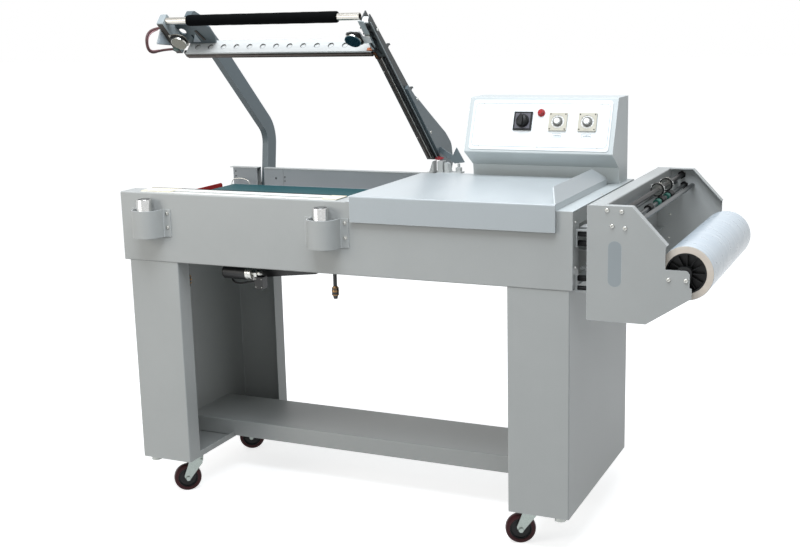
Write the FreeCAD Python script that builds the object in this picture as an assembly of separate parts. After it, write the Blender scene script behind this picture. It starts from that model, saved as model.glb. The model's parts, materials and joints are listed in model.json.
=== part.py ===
import FreeCAD, Part
import math
import os

V = FreeCAD.Vector
os.makedirs("parts", exist_ok=True)

# Driving sizes, mm.  X runs along the table (film side at +X), Y to the rear, Z up from the floor.
LENGTH = 1250.0
DEPTH = 570.0
TABLE_Z = 850.0
BODY_BOTTOM = 665.0
SHEET = 2.0
RECESS_X = 674.0
FLANGE_Y = 70.0
LEG_BOTTOM = 104.0
LEG_BACK = 541.6
LEFT_LEG = (14.5, 168.6)
RIGHT_LEG = (1090.7, 1243.3)
WHEEL_R = 38.0
CASTER_TRAIL = 27.0
HINGE_Y = 585.0
HINGE_Z = 756.0
OPEN_ANGLE = 43.0
ARM_X = (98.0, 118.0)
RIGHT_ARM_X = (670.6, 679.0)
SIDE_BAR_X = (638.0, 670.0)
HANDLE_Y = -72.0
HANDLE_Z = 877.0
MAGNET_Y = -24.0
MAGNET_X = (93.0, 618.0)
UNWIND_X = 1283.0
UNWIND_SPAN = 700.0
ROLL_X = 1504.0
ROLL_Z = 721.6
GAP = 0.3
BELT_Z = 802.0
RAIL_Y = (80.0, 519.0)
SIDE_JAW_X = (636.5, 673.7)

nodes = {}


def box(x0, x1, y0, y1, z0, z1):
    return Part.makeBox(x1 - x0, y1 - y0, z1 - z0, V(x0, y0, z0))


def rod(x, y, z, axis, r, length):
    return Part.makeCylinder(r, length, V(x, y, z), V(*axis))


def fuse(*shapes):
    result = shapes[0]
    for shape in shapes[1:]:
        result = result.fuse(shape)
    return result.removeSplitter()


def to_plane(plane, a, b, at):
    if plane == "x":
        return V(at, a, b)
    if plane == "y":
        return V(a, at, b)
    return V(a, b, at)


def outline(plane, at, points):
    """Closed wire in a plane; each point is (a, b) or (a, b, corner radius)."""
    count = len(points)
    arcs = []
    for i, point in enumerate(points):
        here = V(point[0], point[1], 0)
        before = V(points[i - 1][0], points[i - 1][1], 0)
        after = V(points[(i + 1) % count][0], points[(i + 1) % count][1], 0)
        radius = point[2] if len(point) > 2 else 0
        if radius == 0:
            arcs.append((here, here, here))
            continue
        back = (before - here).normalize()
        ahead = (after - here).normalize()
        half = back.getAngle(ahead) / 2
        reach = radius / math.tan(half)
        middle = (back + ahead).normalize()
        centre = here + middle * (radius / math.sin(half))
        arcs.append((here + back * reach, centre - middle * radius, here + ahead * reach))
    edges = []
    for i, (start, mid, end) in enumerate(arcs):
        if (end - start).Length > 1e-6:
            edges.append(Part.Arc(*[to_plane(plane, p.x, p.y, at) for p in (start, mid, end)]).toShape())
        following = arcs[(i + 1) % count][0]
        if (following - end).Length > 1e-6:
            ends = [to_plane(plane, p.x, p.y, at) for p in (end, following)]
            edges.append(Part.makeLine(*ends))
    return Part.Wire(edges)


def prism(plane, start, end, points):
    """Solid between two parallel planes with the given outline."""
    step = end - start
    push = {"x": V(step, 0, 0), "y": V(0, step, 0), "z": V(0, 0, step)}[plane]
    return Part.Face(outline(plane, start, points)).extrude(push)


def bent_strip(plane, start, end, path, thickness, radius):
    """Folded sheet: the centre path offset to both sides, with rounded bends."""
    half = thickness / 2
    left = []
    right = []
    count = len(path)
    for i, (a, b) in enumerate(path):
        ahead = V(path[i + 1][0] - a, path[i + 1][1] - b, 0).normalize() if i < count - 1 else None
        back = V(a - path[i - 1][0], b - path[i - 1][1], 0).normalize() if i > 0 else ahead
        ahead = back if ahead is None else ahead
        normal = V(-(back.y + ahead.y), back.x + ahead.x, 0).normalize()
        miter = half / max(0.2, abs(normal.dot(V(-ahead.y, ahead.x, 0))))
        turn = back.x * ahead.y - back.y * ahead.x
        inner = 0 if abs(turn) < 1e-6 else radius
        outer = 0 if abs(turn) < 1e-6 else radius + thickness
        left.append((a + normal.x * miter, b + normal.y * miter, inner if turn > 0 else outer))
        right.append((a - normal.x * miter, b - normal.y * miter, outer if turn > 0 else inner))
    return prism(plane, start, end, left + right[::-1])


def keep(name, shape):
    nodes[name] = shape


def swing(shape):
    """Turn a jaw piece from its closed place to the open rest pose."""
    turned = shape.copy()
    turned.rotate(V(0, HINGE_Y, HINGE_Z), V(1, 0, 0), -OPEN_ANGLE)
    return turned


def hexagon(a, b, r, turn=0.0):
    """Corners of a hexagon head or nut round (a, b)."""
    corners = [math.radians(60 * i + turn) for i in range(6)]
    return [(a + r * math.cos(c), b + r * math.sin(c)) for c in corners]


# ---------------------------------------------------------------- table box

SLOT_CLEARANCE = 2.0
SLOT_BOTTOM = 728.0
SLOT_FRONT = 520.0


def arm_slots(shape):
    """Cut the passages that let both jaw arms drop through the rear of the table."""
    for x0, x1 in (ARM_X, RIGHT_ARM_X):
        shape = shape.cut(box(x0 - SLOT_CLEARANCE, x1 + SLOT_CLEARANCE, SLOT_FRONT, DEPTH + 60, SLOT_BOTTOM,
                              TABLE_Z + 60))
    return shape


def front_panel():
    path = [(FLANGE_Y - 1, TABLE_Z - 14), (FLANGE_Y - 1, TABLE_Z - 1), (1, TABLE_Z - 1),
            (1, BODY_BOTTOM + 1), (26, BODY_BOTTOM + 1)]
    left = bent_strip("x", 0, RECESS_X, path, SHEET, 1.0)
    right = bent_strip("x", RECESS_X, LENGTH, [(1, TABLE_Z)] + path[3:], SHEET, 1.0)
    return fuse(left, right)


def rear_panel():
    back = DEPTH - 1
    path = [(WALL_Y - 1, TABLE_Z - 1), (back, TABLE_Z - 1), (back, BODY_BOTTOM + 1),
            (DEPTH - 26, BODY_BOTTOM + 1)]
    left = bent_strip("x", 0, RECESS_X, path, SHEET, 1.0)
    right = bent_strip("x", RECESS_X, LENGTH, [(back, TABLE_Z)] + path[2:], SHEET, 1.0)
    return arm_slots(fuse(left, right))


def end_panels():
    inner = (SHEET + GAP, DEPTH - SHEET - GAP)
    left = box(0, SHEET, inner[0], inner[1], BODY_BOTTOM + 4, BELT_Z - 12)
    upper = bent_strip("y", inner[0], inner[1], [(LENGTH - 18, TABLE_Z - 36), (LENGTH - 1, TABLE_Z - 36),
                                                 (LENGTH - 1, TABLE_Z - 3)], SHEET, 1.0)
    jamb = bent_strip("z", BODY_BOTTOM + 4, TABLE_Z - 40, [(LENGTH - 40, 50), (LENGTH - 1, 50),
                                                           (LENGTH - 1, 4)], SHEET, 1.0)
    rear_jamb = bent_strip("z", BODY_BOTTOM + 4, TABLE_Z - 40,
                           [(LENGTH - 40, DEPTH - 50), (LENGTH - 1, DEPTH - 50), (LENGTH - 1, DEPTH - 4)],
                           SHEET, 1.0)
    return Part.makeCompound([left, fuse(upper, jamb.common(box(0, LENGTH, 0, DEPTH, 0, 812)), rear_jamb,
                                         box(LENGTH - 2, LENGTH, 4, 50, 806, 830),
                                         box(LENGTH - 2, LENGTH, DEPTH - 50, DEPTH - 4, 806, 830))])


def top_plate():
    plate = box(RECESS_X, LENGTH, SHEET, DEPTH - SHEET, TABLE_Z - SHEET, TABLE_Z)
    wall = bent_strip("y", SHEET + GAP, DEPTH - SHEET - GAP,
                      [(RECESS_X + 1, TABLE_Z - SHEET), (RECESS_X + 1, BODY_BOTTOM + 4),
                       (RECESS_X + 22, BODY_BOTTOM + 4)], SHEET, 1.0)
    return arm_slots(fuse(plate, wall))


WALL_Y = 546.0


def recess_wall():
    """Rear wall of the product bay: two lengths of sheet with a joint line and a cable hole."""
    bottom = 745.0
    first = box(11, 186.4, WALL_Y, WALL_Y + 1.5, bottom, TABLE_Z - SHEET - GAP)
    second = box(187.4, RECESS_X - GAP, WALL_Y, WALL_Y + 1.5, bottom, TABLE_Z - SHEET - GAP)
    first = first.cut(rod(161, WALL_Y - 5, 819, (0, 1, 0), 3, 20))
    ledge = box(11, SIDE_JAW_X[0] - 2, RAIL_Y[1] + 2.5, WALL_Y, BELT_Z - 6, BELT_Z - 4.5)
    foot = box(11, RECESS_X - GAP, WALL_Y, WALL_Y + 20, bottom, bottom + 1.5)
    return arm_slots(fuse(first, second, ledge, foot))


keep("front_panel", front_panel())
keep("rear_panel", rear_panel())
keep("end_panels", end_panels())
keep("top_plate", top_plate())
keep("recess_wall", recess_wall())

# ---------------------------------------------------------------- legs, shelf, feet


def leg(x_outer, x_inner):
    """Folded channel leg, open towards the shelf, with a welded foot tray."""
    side = 1 if x_inner > x_outer else -1
    front = 2.0
    a = x_outer + side * 1.0
    b = x_inner - side * 1.0
    path = [(b, front + 50), (b, front + 1), (a, front + 1), (a, LEG_BACK - 1), (b, LEG_BACK - 1),
            (b, LEG_BACK - 50)]
    channel = bent_strip("z", LEG_BOTTOM, BODY_BOTTOM - GAP, path, SHEET, 1.5)
    x0, x1 = sorted((x_outer + side * 2, x_inner - side * 2))
    tray = box(x0, x1, front + 2, LEG_BACK - 2, LEG_BOTTOM, LEG_BOTTOM + 3)
    lip_x = sorted((x_inner - side * 2, x_inner))
    lip = box(lip_x[0], lip_x[1], front + 50, LEG_BACK - 50, LEG_BOTTOM, LEG_BOTTOM + 16)
    lip = lip.cut(box(lip_x[0] - 1, lip_x[1] + 1, SHELF_Y[0] - 1, SHELF_Y[1] + 1, LEG_BOTTOM + 3,
                      LEG_BOTTOM + 30))
    roof = box(x0, x1, front + 2, LEG_BACK - 2, BODY_BOTTOM - 3 - GAP, BODY_BOTTOM - GAP)
    open_x = sorted((x_outer + side * 34, x_inner))
    roof = roof.cut(box(open_x[0], open_x[1], front + 50, LEG_BACK - 50, BODY_BOTTOM - 10, BODY_BOTTOM + 5))
    return fuse(channel, tray, lip, roof)


SHELF_Y = (229.0, 444.0)
SHELF_TOP = 155.0


def lower_shelf():
    y0, y1 = SHELF_Y
    low = LEG_BOTTOM + 3 + GAP
    path = [(y0 + 14, low + 1), (y0 + 1, low + 1), (y0 + 1, SHELF_TOP - 1), (y1 - 1, SHELF_TOP - 1),
            (y1 - 1, low + 1), (y1 - 14, low + 1)]
    return bent_strip("x", LEFT_LEG[0] + 2 + GAP, RIGHT_LEG[1] - 2 - GAP, path, SHEET, 1.5)


CASTERS = {
    "fl": (141.0, 72.0, 219.0),
    "fr": (1126.0, 76.0, 203.0),
    "rl": (138.0, 424.0, 205.0),
    "rr": (1124.0, 438.0, 214.0),
}
PLATE_LOW = 101.0
PIVOT_R = 5.0
AXLE_R = 4.0
RUNNING = 0.05
FOOT_LOW = 91.0


def leg_hardware():
    """Caster top plates with their bolts, and the levelling feet."""
    pieces = []
    for x, y, _ in CASTERS.values():
        plate = box(x - 38, x + 22, y - 30, y + 30, PLATE_LOW, LEG_BOTTOM - GAP)
        boss = rod(x, y, PLATE_LOW - 3.3, (0, 0, 1), 17, 3.5)
        bolts = [prism("z", PLATE_LOW - 3, PLATE_LOW, hexagon(x + dx, y + dy, 5.2))
                 for dx in (-31, 15) for dy in (-22, 22)]
        plate = fuse(plate, boss, *bolts)
        pieces.append(plate.cut(rod(x, y, PLATE_LOW - 10, (0, 0, 1), PIVOT_R + RUNNING, 20)))
    for x in (40, 1216):
        for y in (26, 518):
            pieces.append(Part.makeCone(14, 12, LEG_BOTTOM - GAP - FOOT_LOW, V(x, y, FOOT_LOW), V(0, 0, 1)))
    return Part.makeCompound(pieces)


def caster_fork():
    """Swivel fork at the origin, trailing towards +X, wheel axle included."""
    head = rod(0, 0, 90, (0, 0, 1), 19, 7.4)
    crown = box(-17, 22, -17, 17, 86, 90)
    pin = rod(0, 0, 96, (0, 0, 1), PIVOT_R, 7.0)
    cheek = [(-15, 89), (21, 89), (38, 44, 8), (27, 27, 10), (14, 44), (-15, 80)]
    arms = [prism("y", side * 14.0, side * 16.8, cheek) for side in (-1, 1)]
    axle = rod(CASTER_TRAIL, -16.8, WHEEL_R, (0, 1, 0), AXLE_R, 33.6)
    heads = [prism("y", side * 16.8, side * 21, hexagon(CASTER_TRAIL, WHEEL_R, 6.5)) for side in (-1, 1)]
    return fuse(head, crown, pin, axle, *arms, *heads)


def caster_wheel():
    """Tyre with bevelled shoulders over a dished, bored hub, turned as one piece."""
    flank = [(AXLE_R + RUNNING, 13.2), (11.0, 13.2), (26.0, 9.0), (34.0, 12.0), (WHEEL_R, 7.0)]
    section = flank + [(r, -across) for r, across in flank[::-1]]
    wheel = Part.Face(outline("z", 0, section)).revolve(V(0, 0, 0), V(0, 1, 0), 360)
    wheel.translate(V(CASTER_TRAIL, 0, WHEEL_R))
    return wheel


keep("left_leg", leg(*LEFT_LEG))
keep("right_leg", leg(RIGHT_LEG[1], RIGHT_LEG[0]))
keep("lower_shelf", lower_shelf())
keep("leg_hardware", leg_hardware())
for tag, (x, y, turn) in CASTERS.items():
    for name, shape in (("caster_fork_", caster_fork()), ("caster_wheel_", caster_wheel())):
        shape.rotate(V(0, 0, 0), V(0, 0, 1), turn)
        shape.translate(V(x, y, 0))
        keep(name + tag, shape)

# ---------------------------------------------------------------- conveyor in the product bay

ROLLER_R = 25.0
ROLLERS = (34.0, 598.0)
BELT_Y = (88.0, 513.0)
BELT_T = 2.0
ROLLER_Z = BELT_Z - BELT_T - GAP - ROLLER_R
RAIL_LOW = 746.0
CROSS_Z = 734.0
CROSS_X = (150, 330, 500)
AXLE_BORE = 8.05


def belt_loop(r, y0, y1):
    ends = [rod(x, y0, ROLLER_Z, (0, 1, 0), r, y1 - y0) for x in ROLLERS]
    return fuse(*ends, box(ROLLERS[0], ROLLERS[1], y0, y1, ROLLER_Z - r, ROLLER_Z + r))


def conveyor_roller(x):
    body = rod(x, BELT_Y[0] - 3, ROLLER_Z, (0, 1, 0), ROLLER_R, BELT_Y[1] - BELT_Y[0] + 6)
    shaft = rod(x, RAIL_Y[0] - 3, ROLLER_Z, (0, 1, 0), 8, RAIL_Y[1] - RAIL_Y[0] + 8)
    return fuse(body, shaft)


def conveyor_frame():
    """Black side rails with the cross bars that join them, and the slider bed laid on the rails."""
    bed_top = BELT_Z - BELT_T - GAP
    bed = box(70, 562, RAIL_Y[0], RAIL_Y[1] + 1.5, bed_top - 3, bed_top)
    rails = []
    for y0 in (RAIL_Y[0], RAIL_Y[1] - 1):
        rail = box(12, 632, y0, y0 + 2.5, RAIL_LOW, RAIL_LOW + 42)
        rail = rail.fuse(box(68, 564, y0, y0 + 2.5, RAIL_LOW + 40, bed_top - 3))
        for x in ROLLERS:
            rail = rail.cut(rod(x, y0 - 5, ROLLER_Z, (0, 1, 0), AXLE_BORE, 20))
        rails.append(rail)
    cross = [box(x, x + 30, RAIL_Y[0], RAIL_Y[1] + 1.5, CROSS_Z, CROSS_Z + 4) for x in CROSS_X]
    tabs = [box(x, x + 30, y, y + 2.5, CROSS_Z, RAIL_LOW + 1) for x in CROSS_X for y in (RAIL_Y[0],
                                                                                         RAIL_Y[1] - 1)]
    return Part.makeCompound([fuse(*rails, *cross, *tabs), bed])


def drive_hanger():
    """Folded hanger below the cross bars with the slanting pan that shields the gear motor."""
    top = CROSS_Z - GAP
    plate = box(220, 360, 140, 143, 640, top)
    foot = box(150, 360, 118, 143, top - 4, top)
    pan = prism("y", 150, 330, [(225, 640), (330, 640), (330, 606, 3), (505, 626, 3), (505, 634),
                                (338, 646), (225, 646)])
    pan = pan.cut(prism("y", 153, 327, [(228, 650), (228, 643), (338, 643), (338, 612), (500, 629),
                                        (500, 650)]))
    return fuse(plate, foot, pan, box(220, 228, 143, 150, 640, 646))


def belt_drive():
    """Gear motor below the bay with its coupling, end nut and terminal box."""
    y, z = 118.0, 624.0
    motor = rod(244, y, z, (1, 0, 0), 19, 68)
    coupling = rod(312, y, z, (1, 0, 0), 18.5, 18)
    stub = rod(330, y, z, (1, 0, 0), 7, 22)
    nut = prism("x", 336, 345, hexagon(y, z, 13))
    terminal = box(339, 364, y - 12, y + 12, 584, 616)
    saddle = box(250, 298, y, 139.7, z + 6, z + 18)
    return fuse(motor, coupling, stub, nut, terminal, saddle)


BELT_INSIDE = belt_loop(ROLLER_R + GAP, BELT_Y[0] - 1, BELT_Y[1] + 1)
keep("conveyor_belt", belt_loop(ROLLER_R + GAP + BELT_T, *BELT_Y).cut(BELT_INSIDE))
keep("idler_roller", conveyor_roller(ROLLERS[0]))
keep("drive_roller", conveyor_roller(ROLLERS[1]))
keep("conveyor_frame", conveyor_frame())
keep("drive_hanger", drive_hanger())
keep("belt_drive", belt_drive())

# ---------------------------------------------------------------- lower seal jaws

FRONT_PAD_TOP = 853.0
SIDE_PAD_TOP = 850.0
SIDE_JAW_END = 510.0


def lower_jaw_bars():
    front = box(58, 646, 30, FLANGE_Y - 0.5, TABLE_Z + 0.1, 851.5)
    side = box(*SIDE_JAW_X, 72, SIDE_JAW_END, 790, 848.5)
    side = side.cut(box(SIDE_JAW_X[0] + 4, SIDE_JAW_X[1] - 4, 60, SIDE_JAW_END + 10, 780, 844))
    return Part.makeCompound([front, side])


def seal_pads():
    front = prism("x", 60, 644, [(34, 851.5), (66, 851.5), (66, FRONT_PAD_TOP, 0.8),
                                 (34, FRONT_PAD_TOP, 0.8)])
    side = prism("y", 74, SIDE_JAW_END - 2, [(641, 848.5), (667, 848.5), (667, SIDE_PAD_TOP, 0.8),
                                             (641, SIDE_PAD_TOP, 0.8)])
    return Part.makeCompound([front, side])


keep("lower_jaw_bars", lower_jaw_bars())
keep("seal_pads", seal_pads())

# ---------------------------------------------------------------- product tray

TRAY_X = (690.0, 1211.0)
TRAY_TOP = 866.0
TRAY_Y = (-10.0, 440.0)


def product_tray():
    """Folded tray over the table: front apron, low rear lip, right fence leaning inwards."""
    x0, x1 = TRAY_X
    y0, y1 = TRAY_Y
    deck = bent_strip("x", x0, x1, [(y0 + 1, 801), (y0 + 1, TRAY_TOP - 1), (y1 - 1, TRAY_TOP - 1),
                                    (y1 - 1, TABLE_Z + 1.2)], SHEET, 2.0)
    fence = prism("y", y0 + 4, y1, [(x1 - 2, TRAY_TOP - 2), (x1, TRAY_TOP - 2), (x1, TRAY_TOP),
                                    (x1 - 19, TRAY_TOP + 34), (x1 - 20.7, TRAY_TOP + 33)])
    trim = prism("x", x1 - 40, x1 + 1, [(y0 - 1, TRAY_TOP - 4), (y0 + 60, TRAY_TOP + 40),
                                        (y0 - 1, TRAY_TOP + 40)])
    tail = prism("x", x1 - 40, x1 + 1, [(y1 + 1, TRAY_TOP + 4), (y1 - 90, TRAY_TOP + 40),
                                        (y1 + 1, TRAY_TOP + 40)])
    fence = fence.cut(trim).cut(tail)
    side = box(x1 - 2, x1, y0 + 2, y1 - 2, TABLE_Z + 0.2, TRAY_TOP - 1)
    side = side.fuse(box(x1 - 2, x1, y0 + 2, -0.4, 801, TABLE_Z + 2))
    left = box(x0, x0 + 2, y0 + 2, y1 - 2, TABLE_Z + 0.2, TRAY_TOP - 1)
    left = left.fuse(box(x0, x0 + 2, y0 + 2, -0.4, 801, TABLE_Z + 2))
    return fuse(deck, fence, side, left)


keep("product_tray", product_tray())

# ---------------------------------------------------------------- control box

BOX_X = (832.0, 1236.0)
BOX_TOP = 1073.0
BOX_BACK = 552.0
PANEL_LOW = (396.0, 932.5)
PANEL_HIGH = (454.0, 1073.0)


def box_profile(inset):
    back = BOX_BACK - inset
    return [(468 + inset, TABLE_Z + 0.3), (463 + inset * 1.4, 892),
            (PANEL_LOW[0] + inset * 1.6, PANEL_LOW[1] + inset * 0.2, 4),
            (PANEL_HIGH[0] + inset, BOX_TOP - inset, 4), (back, BOX_TOP - inset, 4), (back, TABLE_Z + 0.3)]


PANEL_RISE = math.degrees(math.atan2(PANEL_HIGH[1] - PANEL_LOW[1], PANEL_HIGH[0] - PANEL_LOW[0]))
PANEL_TILT = 90 - PANEL_RISE


def on_panel(shape, across, up):
    """Place a shape made around the origin, facing -Y, on the sloping panel.

    across is X, up is the distance from the panel's lower edge."""
    placed = shape.copy()
    placed.rotate(V(0, 0, 0), V(1, 0, 0), -PANEL_TILT)
    slope = V(0, PANEL_HIGH[0] - PANEL_LOW[0], PANEL_HIGH[1] - PANEL_LOW[1]).normalize()
    outward = V(0, -slope.z, slope.y)
    foot = V(across, PANEL_LOW[0], PANEL_LOW[1])
    placed.translate(foot + slope * up + outward * PANEL_OUT)
    return placed


PANEL_T = 1.5
PANEL_OUT = PANEL_T + 0.3
PANEL_LEN = math.hypot(PANEL_HIGH[0] - PANEL_LOW[0], PANEL_HIGH[1] - PANEL_LOW[1])
PANEL_MARGIN = 12.0
SWITCH_AT = (987.6, 86.0)
LAMP_AT = (1035.6, 109.0)
TIMERS_AT = ((1083.3, 85.0), (1162.4, 85.0))
PANEL_ROUND = 8.0


def panel_holes():
    """Openings for the switch, the two timers and the pilot lamp, cut through box and panel alike."""
    holes = [on_panel(box(-20, 20, -5, 10, -20, 20), *SWITCH_AT)]
    holes += [on_panel(box(-21, 21, -5, 10, -21, 21), *at) for at in TIMERS_AT]
    holes.append(on_panel(rod(0, -5, 0, (0, 1, 0), 5.2, 15), *LAMP_AT))
    return holes


def control_box():
    outer = prism("x", BOX_X[0], BOX_X[1], box_profile(0))
    inner = prism("x", BOX_X[0] + 1.5, BOX_X[1] - 1.5, box_profile(1.5))
    shell = outer.cut(inner)
    for hole in panel_holes():
        shell = shell.cut(hole)
    return shell


def control_panel():
    half = (BOX_X[1] - BOX_X[0]) / 2 - PANEL_MARGIN
    low, high = PANEL_ROUND, PANEL_LEN - PANEL_ROUND
    plate = prism("y", 0, PANEL_T, [(-half, low, PANEL_ROUND), (half, low, PANEL_ROUND),
                                    (half, high, PANEL_ROUND), (-half, high, PANEL_ROUND)])
    centre = (BOX_X[0] + BOX_X[1]) / 2
    plate = on_panel(plate, centre, 0)
    for hole in panel_holes():
        plate = plate.cut(hole)
    return plate


def cam_switch():
    plate = box(-25, 25, -4, 0, -25, 25)
    ring = rod(0, -7, 0, (0, 1, 0), 18, 3.2)
    body = box(-19.5, 19.5, -0.2, 42, -19.5, 19.5)
    return on_panel(fuse(plate, ring, body).cut(rod(0, -12, 0, (0, 1, 0), 4.05, 25)), *SWITCH_AT)


def switch_knob():
    """Rotary grip with a raised bar and a pointer end, on its spindle."""
    skirt = rod(0, -10.5, 0, (0, 1, 0), 16, 3.2)
    grip = prism("y", -24, -10, [(-5, -13), (-2, -15), (2, -15), (5, -13), (5, 10), (0, 15), (-5, 10)])
    spindle = rod(0, -10.5, 0, (0, 1, 0), 4, 22)
    return on_panel(fuse(skirt, grip, spindle), *SWITCH_AT)


def timer_body(at):
    bezel = box(-24, 24, -5, 0, -24, 24)
    well = rod(0, -8, 0, (0, 1, 0), 17.5, 4.5)
    body = box(-20.5, 20.5, -0.2, 60, -20.5, 20.5)
    return on_panel(fuse(bezel.cut(well), body).cut(rod(0, -20, 0, (0, 1, 0), 2.55, 35)), *at)


def timer_dial(at):
    dial = rod(0, -6.0, 0, (0, 1, 0), 12.5, 2.2)
    knob = Part.makeCone(8.5, 7.5, 9, V(0, -6, 0), V(0, -1, 0))
    spindle = rod(0, -6, 0, (0, 1, 0), 2.5, 18)
    return on_panel(fuse(dial, knob, spindle), *at)


def pilot_lamp():
    bezel = rod(0, -3.5, 0, (0, 1, 0), 10, 3.5)
    lens = Part.makeCone(8, 5.5, 8, V(0, -3, 0), V(0, -1, 0))
    body = rod(0, -0.2, 0, (0, 1, 0), 5, 30)
    return on_panel(fuse(bezel, lens, body), *LAMP_AT)


keep("control_box", control_box())
keep("control_panel", control_panel())
keep("cam_switch", cam_switch())
keep("switch_knob", switch_knob())
keep("timer_bodies", Part.makeCompound([timer_body(at) for at in TIMERS_AT]))
keep("seal_timer_dial", timer_dial(TIMERS_AT[0]))
keep("magnet_timer_dial", timer_dial(TIMERS_AT[1]))
keep("pilot_lamp", pilot_lamp())

# ---------------------------------------------------------------- electromagnets on the front

MAGNET_TOP = 836.0
MAGNET_R = 20.7
COVER_Z = (735.0, 808.0)


def magnet_cover(x):
    """Sheet strap bowed round the magnet, with a screw flange on each side."""
    front = MAGNET_Y - 31
    path = [(x - 58, -1), (x - 36, -1), (x - 34, front + 24), (x - 16, front), (x + 18, front),
            (x + 38, front + 24), (x + 41, -1), (x + 64, -1)]
    half = 1.0
    strap = bent_strip("z", COVER_Z[0], COVER_Z[1], path, 2 * half, 7.0)
    floor = prism("z", COVER_Z[0], COVER_Z[0] + 2, [(x - 35, -0.4), (x - 33, front + 25, 8),
                                                    (x - 16, front + 1, 8), (x + 17, front + 1, 8),
                                                    (x + 37, front + 25, 8), (x + 40, -0.4)])
    return fuse(strap, floor)


def electromagnet(x):
    coil = rod(x, MAGNET_Y, COVER_Z[0] + 2.2, (0, 0, 1), MAGNET_R, MAGNET_TOP - COVER_Z[0] - 2.2)
    core = rod(x, MAGNET_Y, MAGNET_TOP - 2, (0, 0, 1), 8, 6)
    groove = rod(x, MAGNET_Y, MAGNET_TOP - 1, (0, 0, 1), 16, 3).cut(core)
    return coil.cut(groove)


keep("magnet_covers", Part.makeCompound([magnet_cover(x) for x in MAGNET_X]))
keep("electromagnets", Part.makeCompound([electromagnet(x) for x in MAGNET_X]))

# ---------------------------------------------------------------- hinge, springs


PEDESTAL_TOP = 882.0
STOP_AT = (735.0, 601.0)


def hinge_brackets():
    """Bearing blocks behind the rear panel; the right pair rises as a pedestal beside the cheek arm."""
    pieces = []
    bore = rod(0, HINGE_Y, HINGE_Z, (1, 0, 0), 10.05, 900)
    for x0, x1 in ((66.0, 86.0), (300.0, 320.0)):
        block = prism("x", x0, x1, [(DEPTH, HINGE_Z - 26), (HINGE_Y, HINGE_Z - 26, 10),
                                    (HINGE_Y + 24, HINGE_Z - 14, 14), (HINGE_Y + 24, HINGE_Z + 22, 14),
                                    (HINGE_Y - 4, HINGE_Z + 26, 10), (DEPTH, HINGE_Z + 26)])
        pieces.append(block.cut(bore))
    column = prism("x", 640, 720, [(DEPTH, HINGE_Z - 26), (HINGE_Y, HINGE_Z - 26, 10),
                                   (612, HINGE_Z - 14, 14), (612, 850), (DEPTH, 850)])
    shape_xz = [(650, HINGE_Z - 30), (650, 846), (656, 852), (666, PEDESTAL_TOP, 2), (697, PEDESTAL_TOP),
                (697, 846), (703, 846), (703, 878), (712, 874, 3), (717, 852), (717, HINGE_Z - 30)]
    column = column.fuse(box(640, 720, DEPTH, 596, 850, 890)).common(prism("y", DEPTH - 5, 620, shape_xz))
    shelf = box(648, 748, DEPTH, 612, TABLE_Z - 4, TABLE_Z)
    pedestal = arm_slots(fuse(column, shelf).cut(bore))
    pieces += pedestal.Solids
    x, y = STOP_AT
    block = prism("z", TABLE_Z, TABLE_Z + 12, [(x - 8, y - 7, 2), (x + 8, y - 7, 2), (x + 8, y + 7, 2),
                                               (x - 8, y + 7, 2)])
    pieces.append(block.fuse(rod(x, y, TABLE_Z + 11, (0, 0, 1), 4, 12)).removeSplitter())
    return Part.makeCompound(pieces)


def return_springs():
    """Torsion springs over the shaft, as sleeves of the coils' outer and inner size."""
    pieces = []
    for x0 in (134.0, 570.0):
        coil = rod(x0, HINGE_Y, HINGE_Z, (1, 0, 0), 14.4, 60).cut(rod(x0 - 1, HINGE_Y, HINGE_Z, (1, 0, 0),
                                                                      11.4, 62))
        leg_fixed = box(x0, x0 + 4, DEPTH + 0.3, DEPTH + 4.3, HINGE_Z - 60, HINGE_Z)
        leg_top = box(x0, x0 + 4, DEPTH + 0.3, HINGE_Y, HINGE_Z - 14.4, HINGE_Z - 11)
        pieces.append(fuse(coil, leg_fixed, leg_top).cut(rod(x0 - 1, HINGE_Y, HINGE_Z, (1, 0, 0), 11.4, 62)))
    return Part.makeCompound(pieces)


def buffer_rods():
    """Hanging buffer rods with nut, collar and domed end, on a bracket behind the front panel."""
    pieces = []
    for x in (131.0, 586.0):
        stem = rod(x, 100, 606, (0, 0, 1), 5, 130)
        collar = rod(x, 100, 588, (0, 0, 1), 9, 18)
        tip = Part.makeCone(5, 7.5, 11, V(x, 100, 577), V(0, 0, 1))
        nut = prism("z", 696, 703, hexagon(x, 100, 9))
        bracket = box(x - 16, x + 16, 2.3, 116, 692, 696)
        bracket = bracket.fuse(box(x - 16, x + 16, 2.3, 5.3, 692, 730))
        pieces.append(fuse(stem, collar, tip, nut, bracket))
    return Part.makeCompound(pieces)


keep("hinge_brackets", hinge_brackets())
keep("return_springs", return_springs())
keep("buffer_rods", buffer_rods())

# ---------------------------------------------------------------- upper L jaw, drawn closed then swung open

BEND = 54.4
BAR_BOTTOM = 862.0


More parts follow.
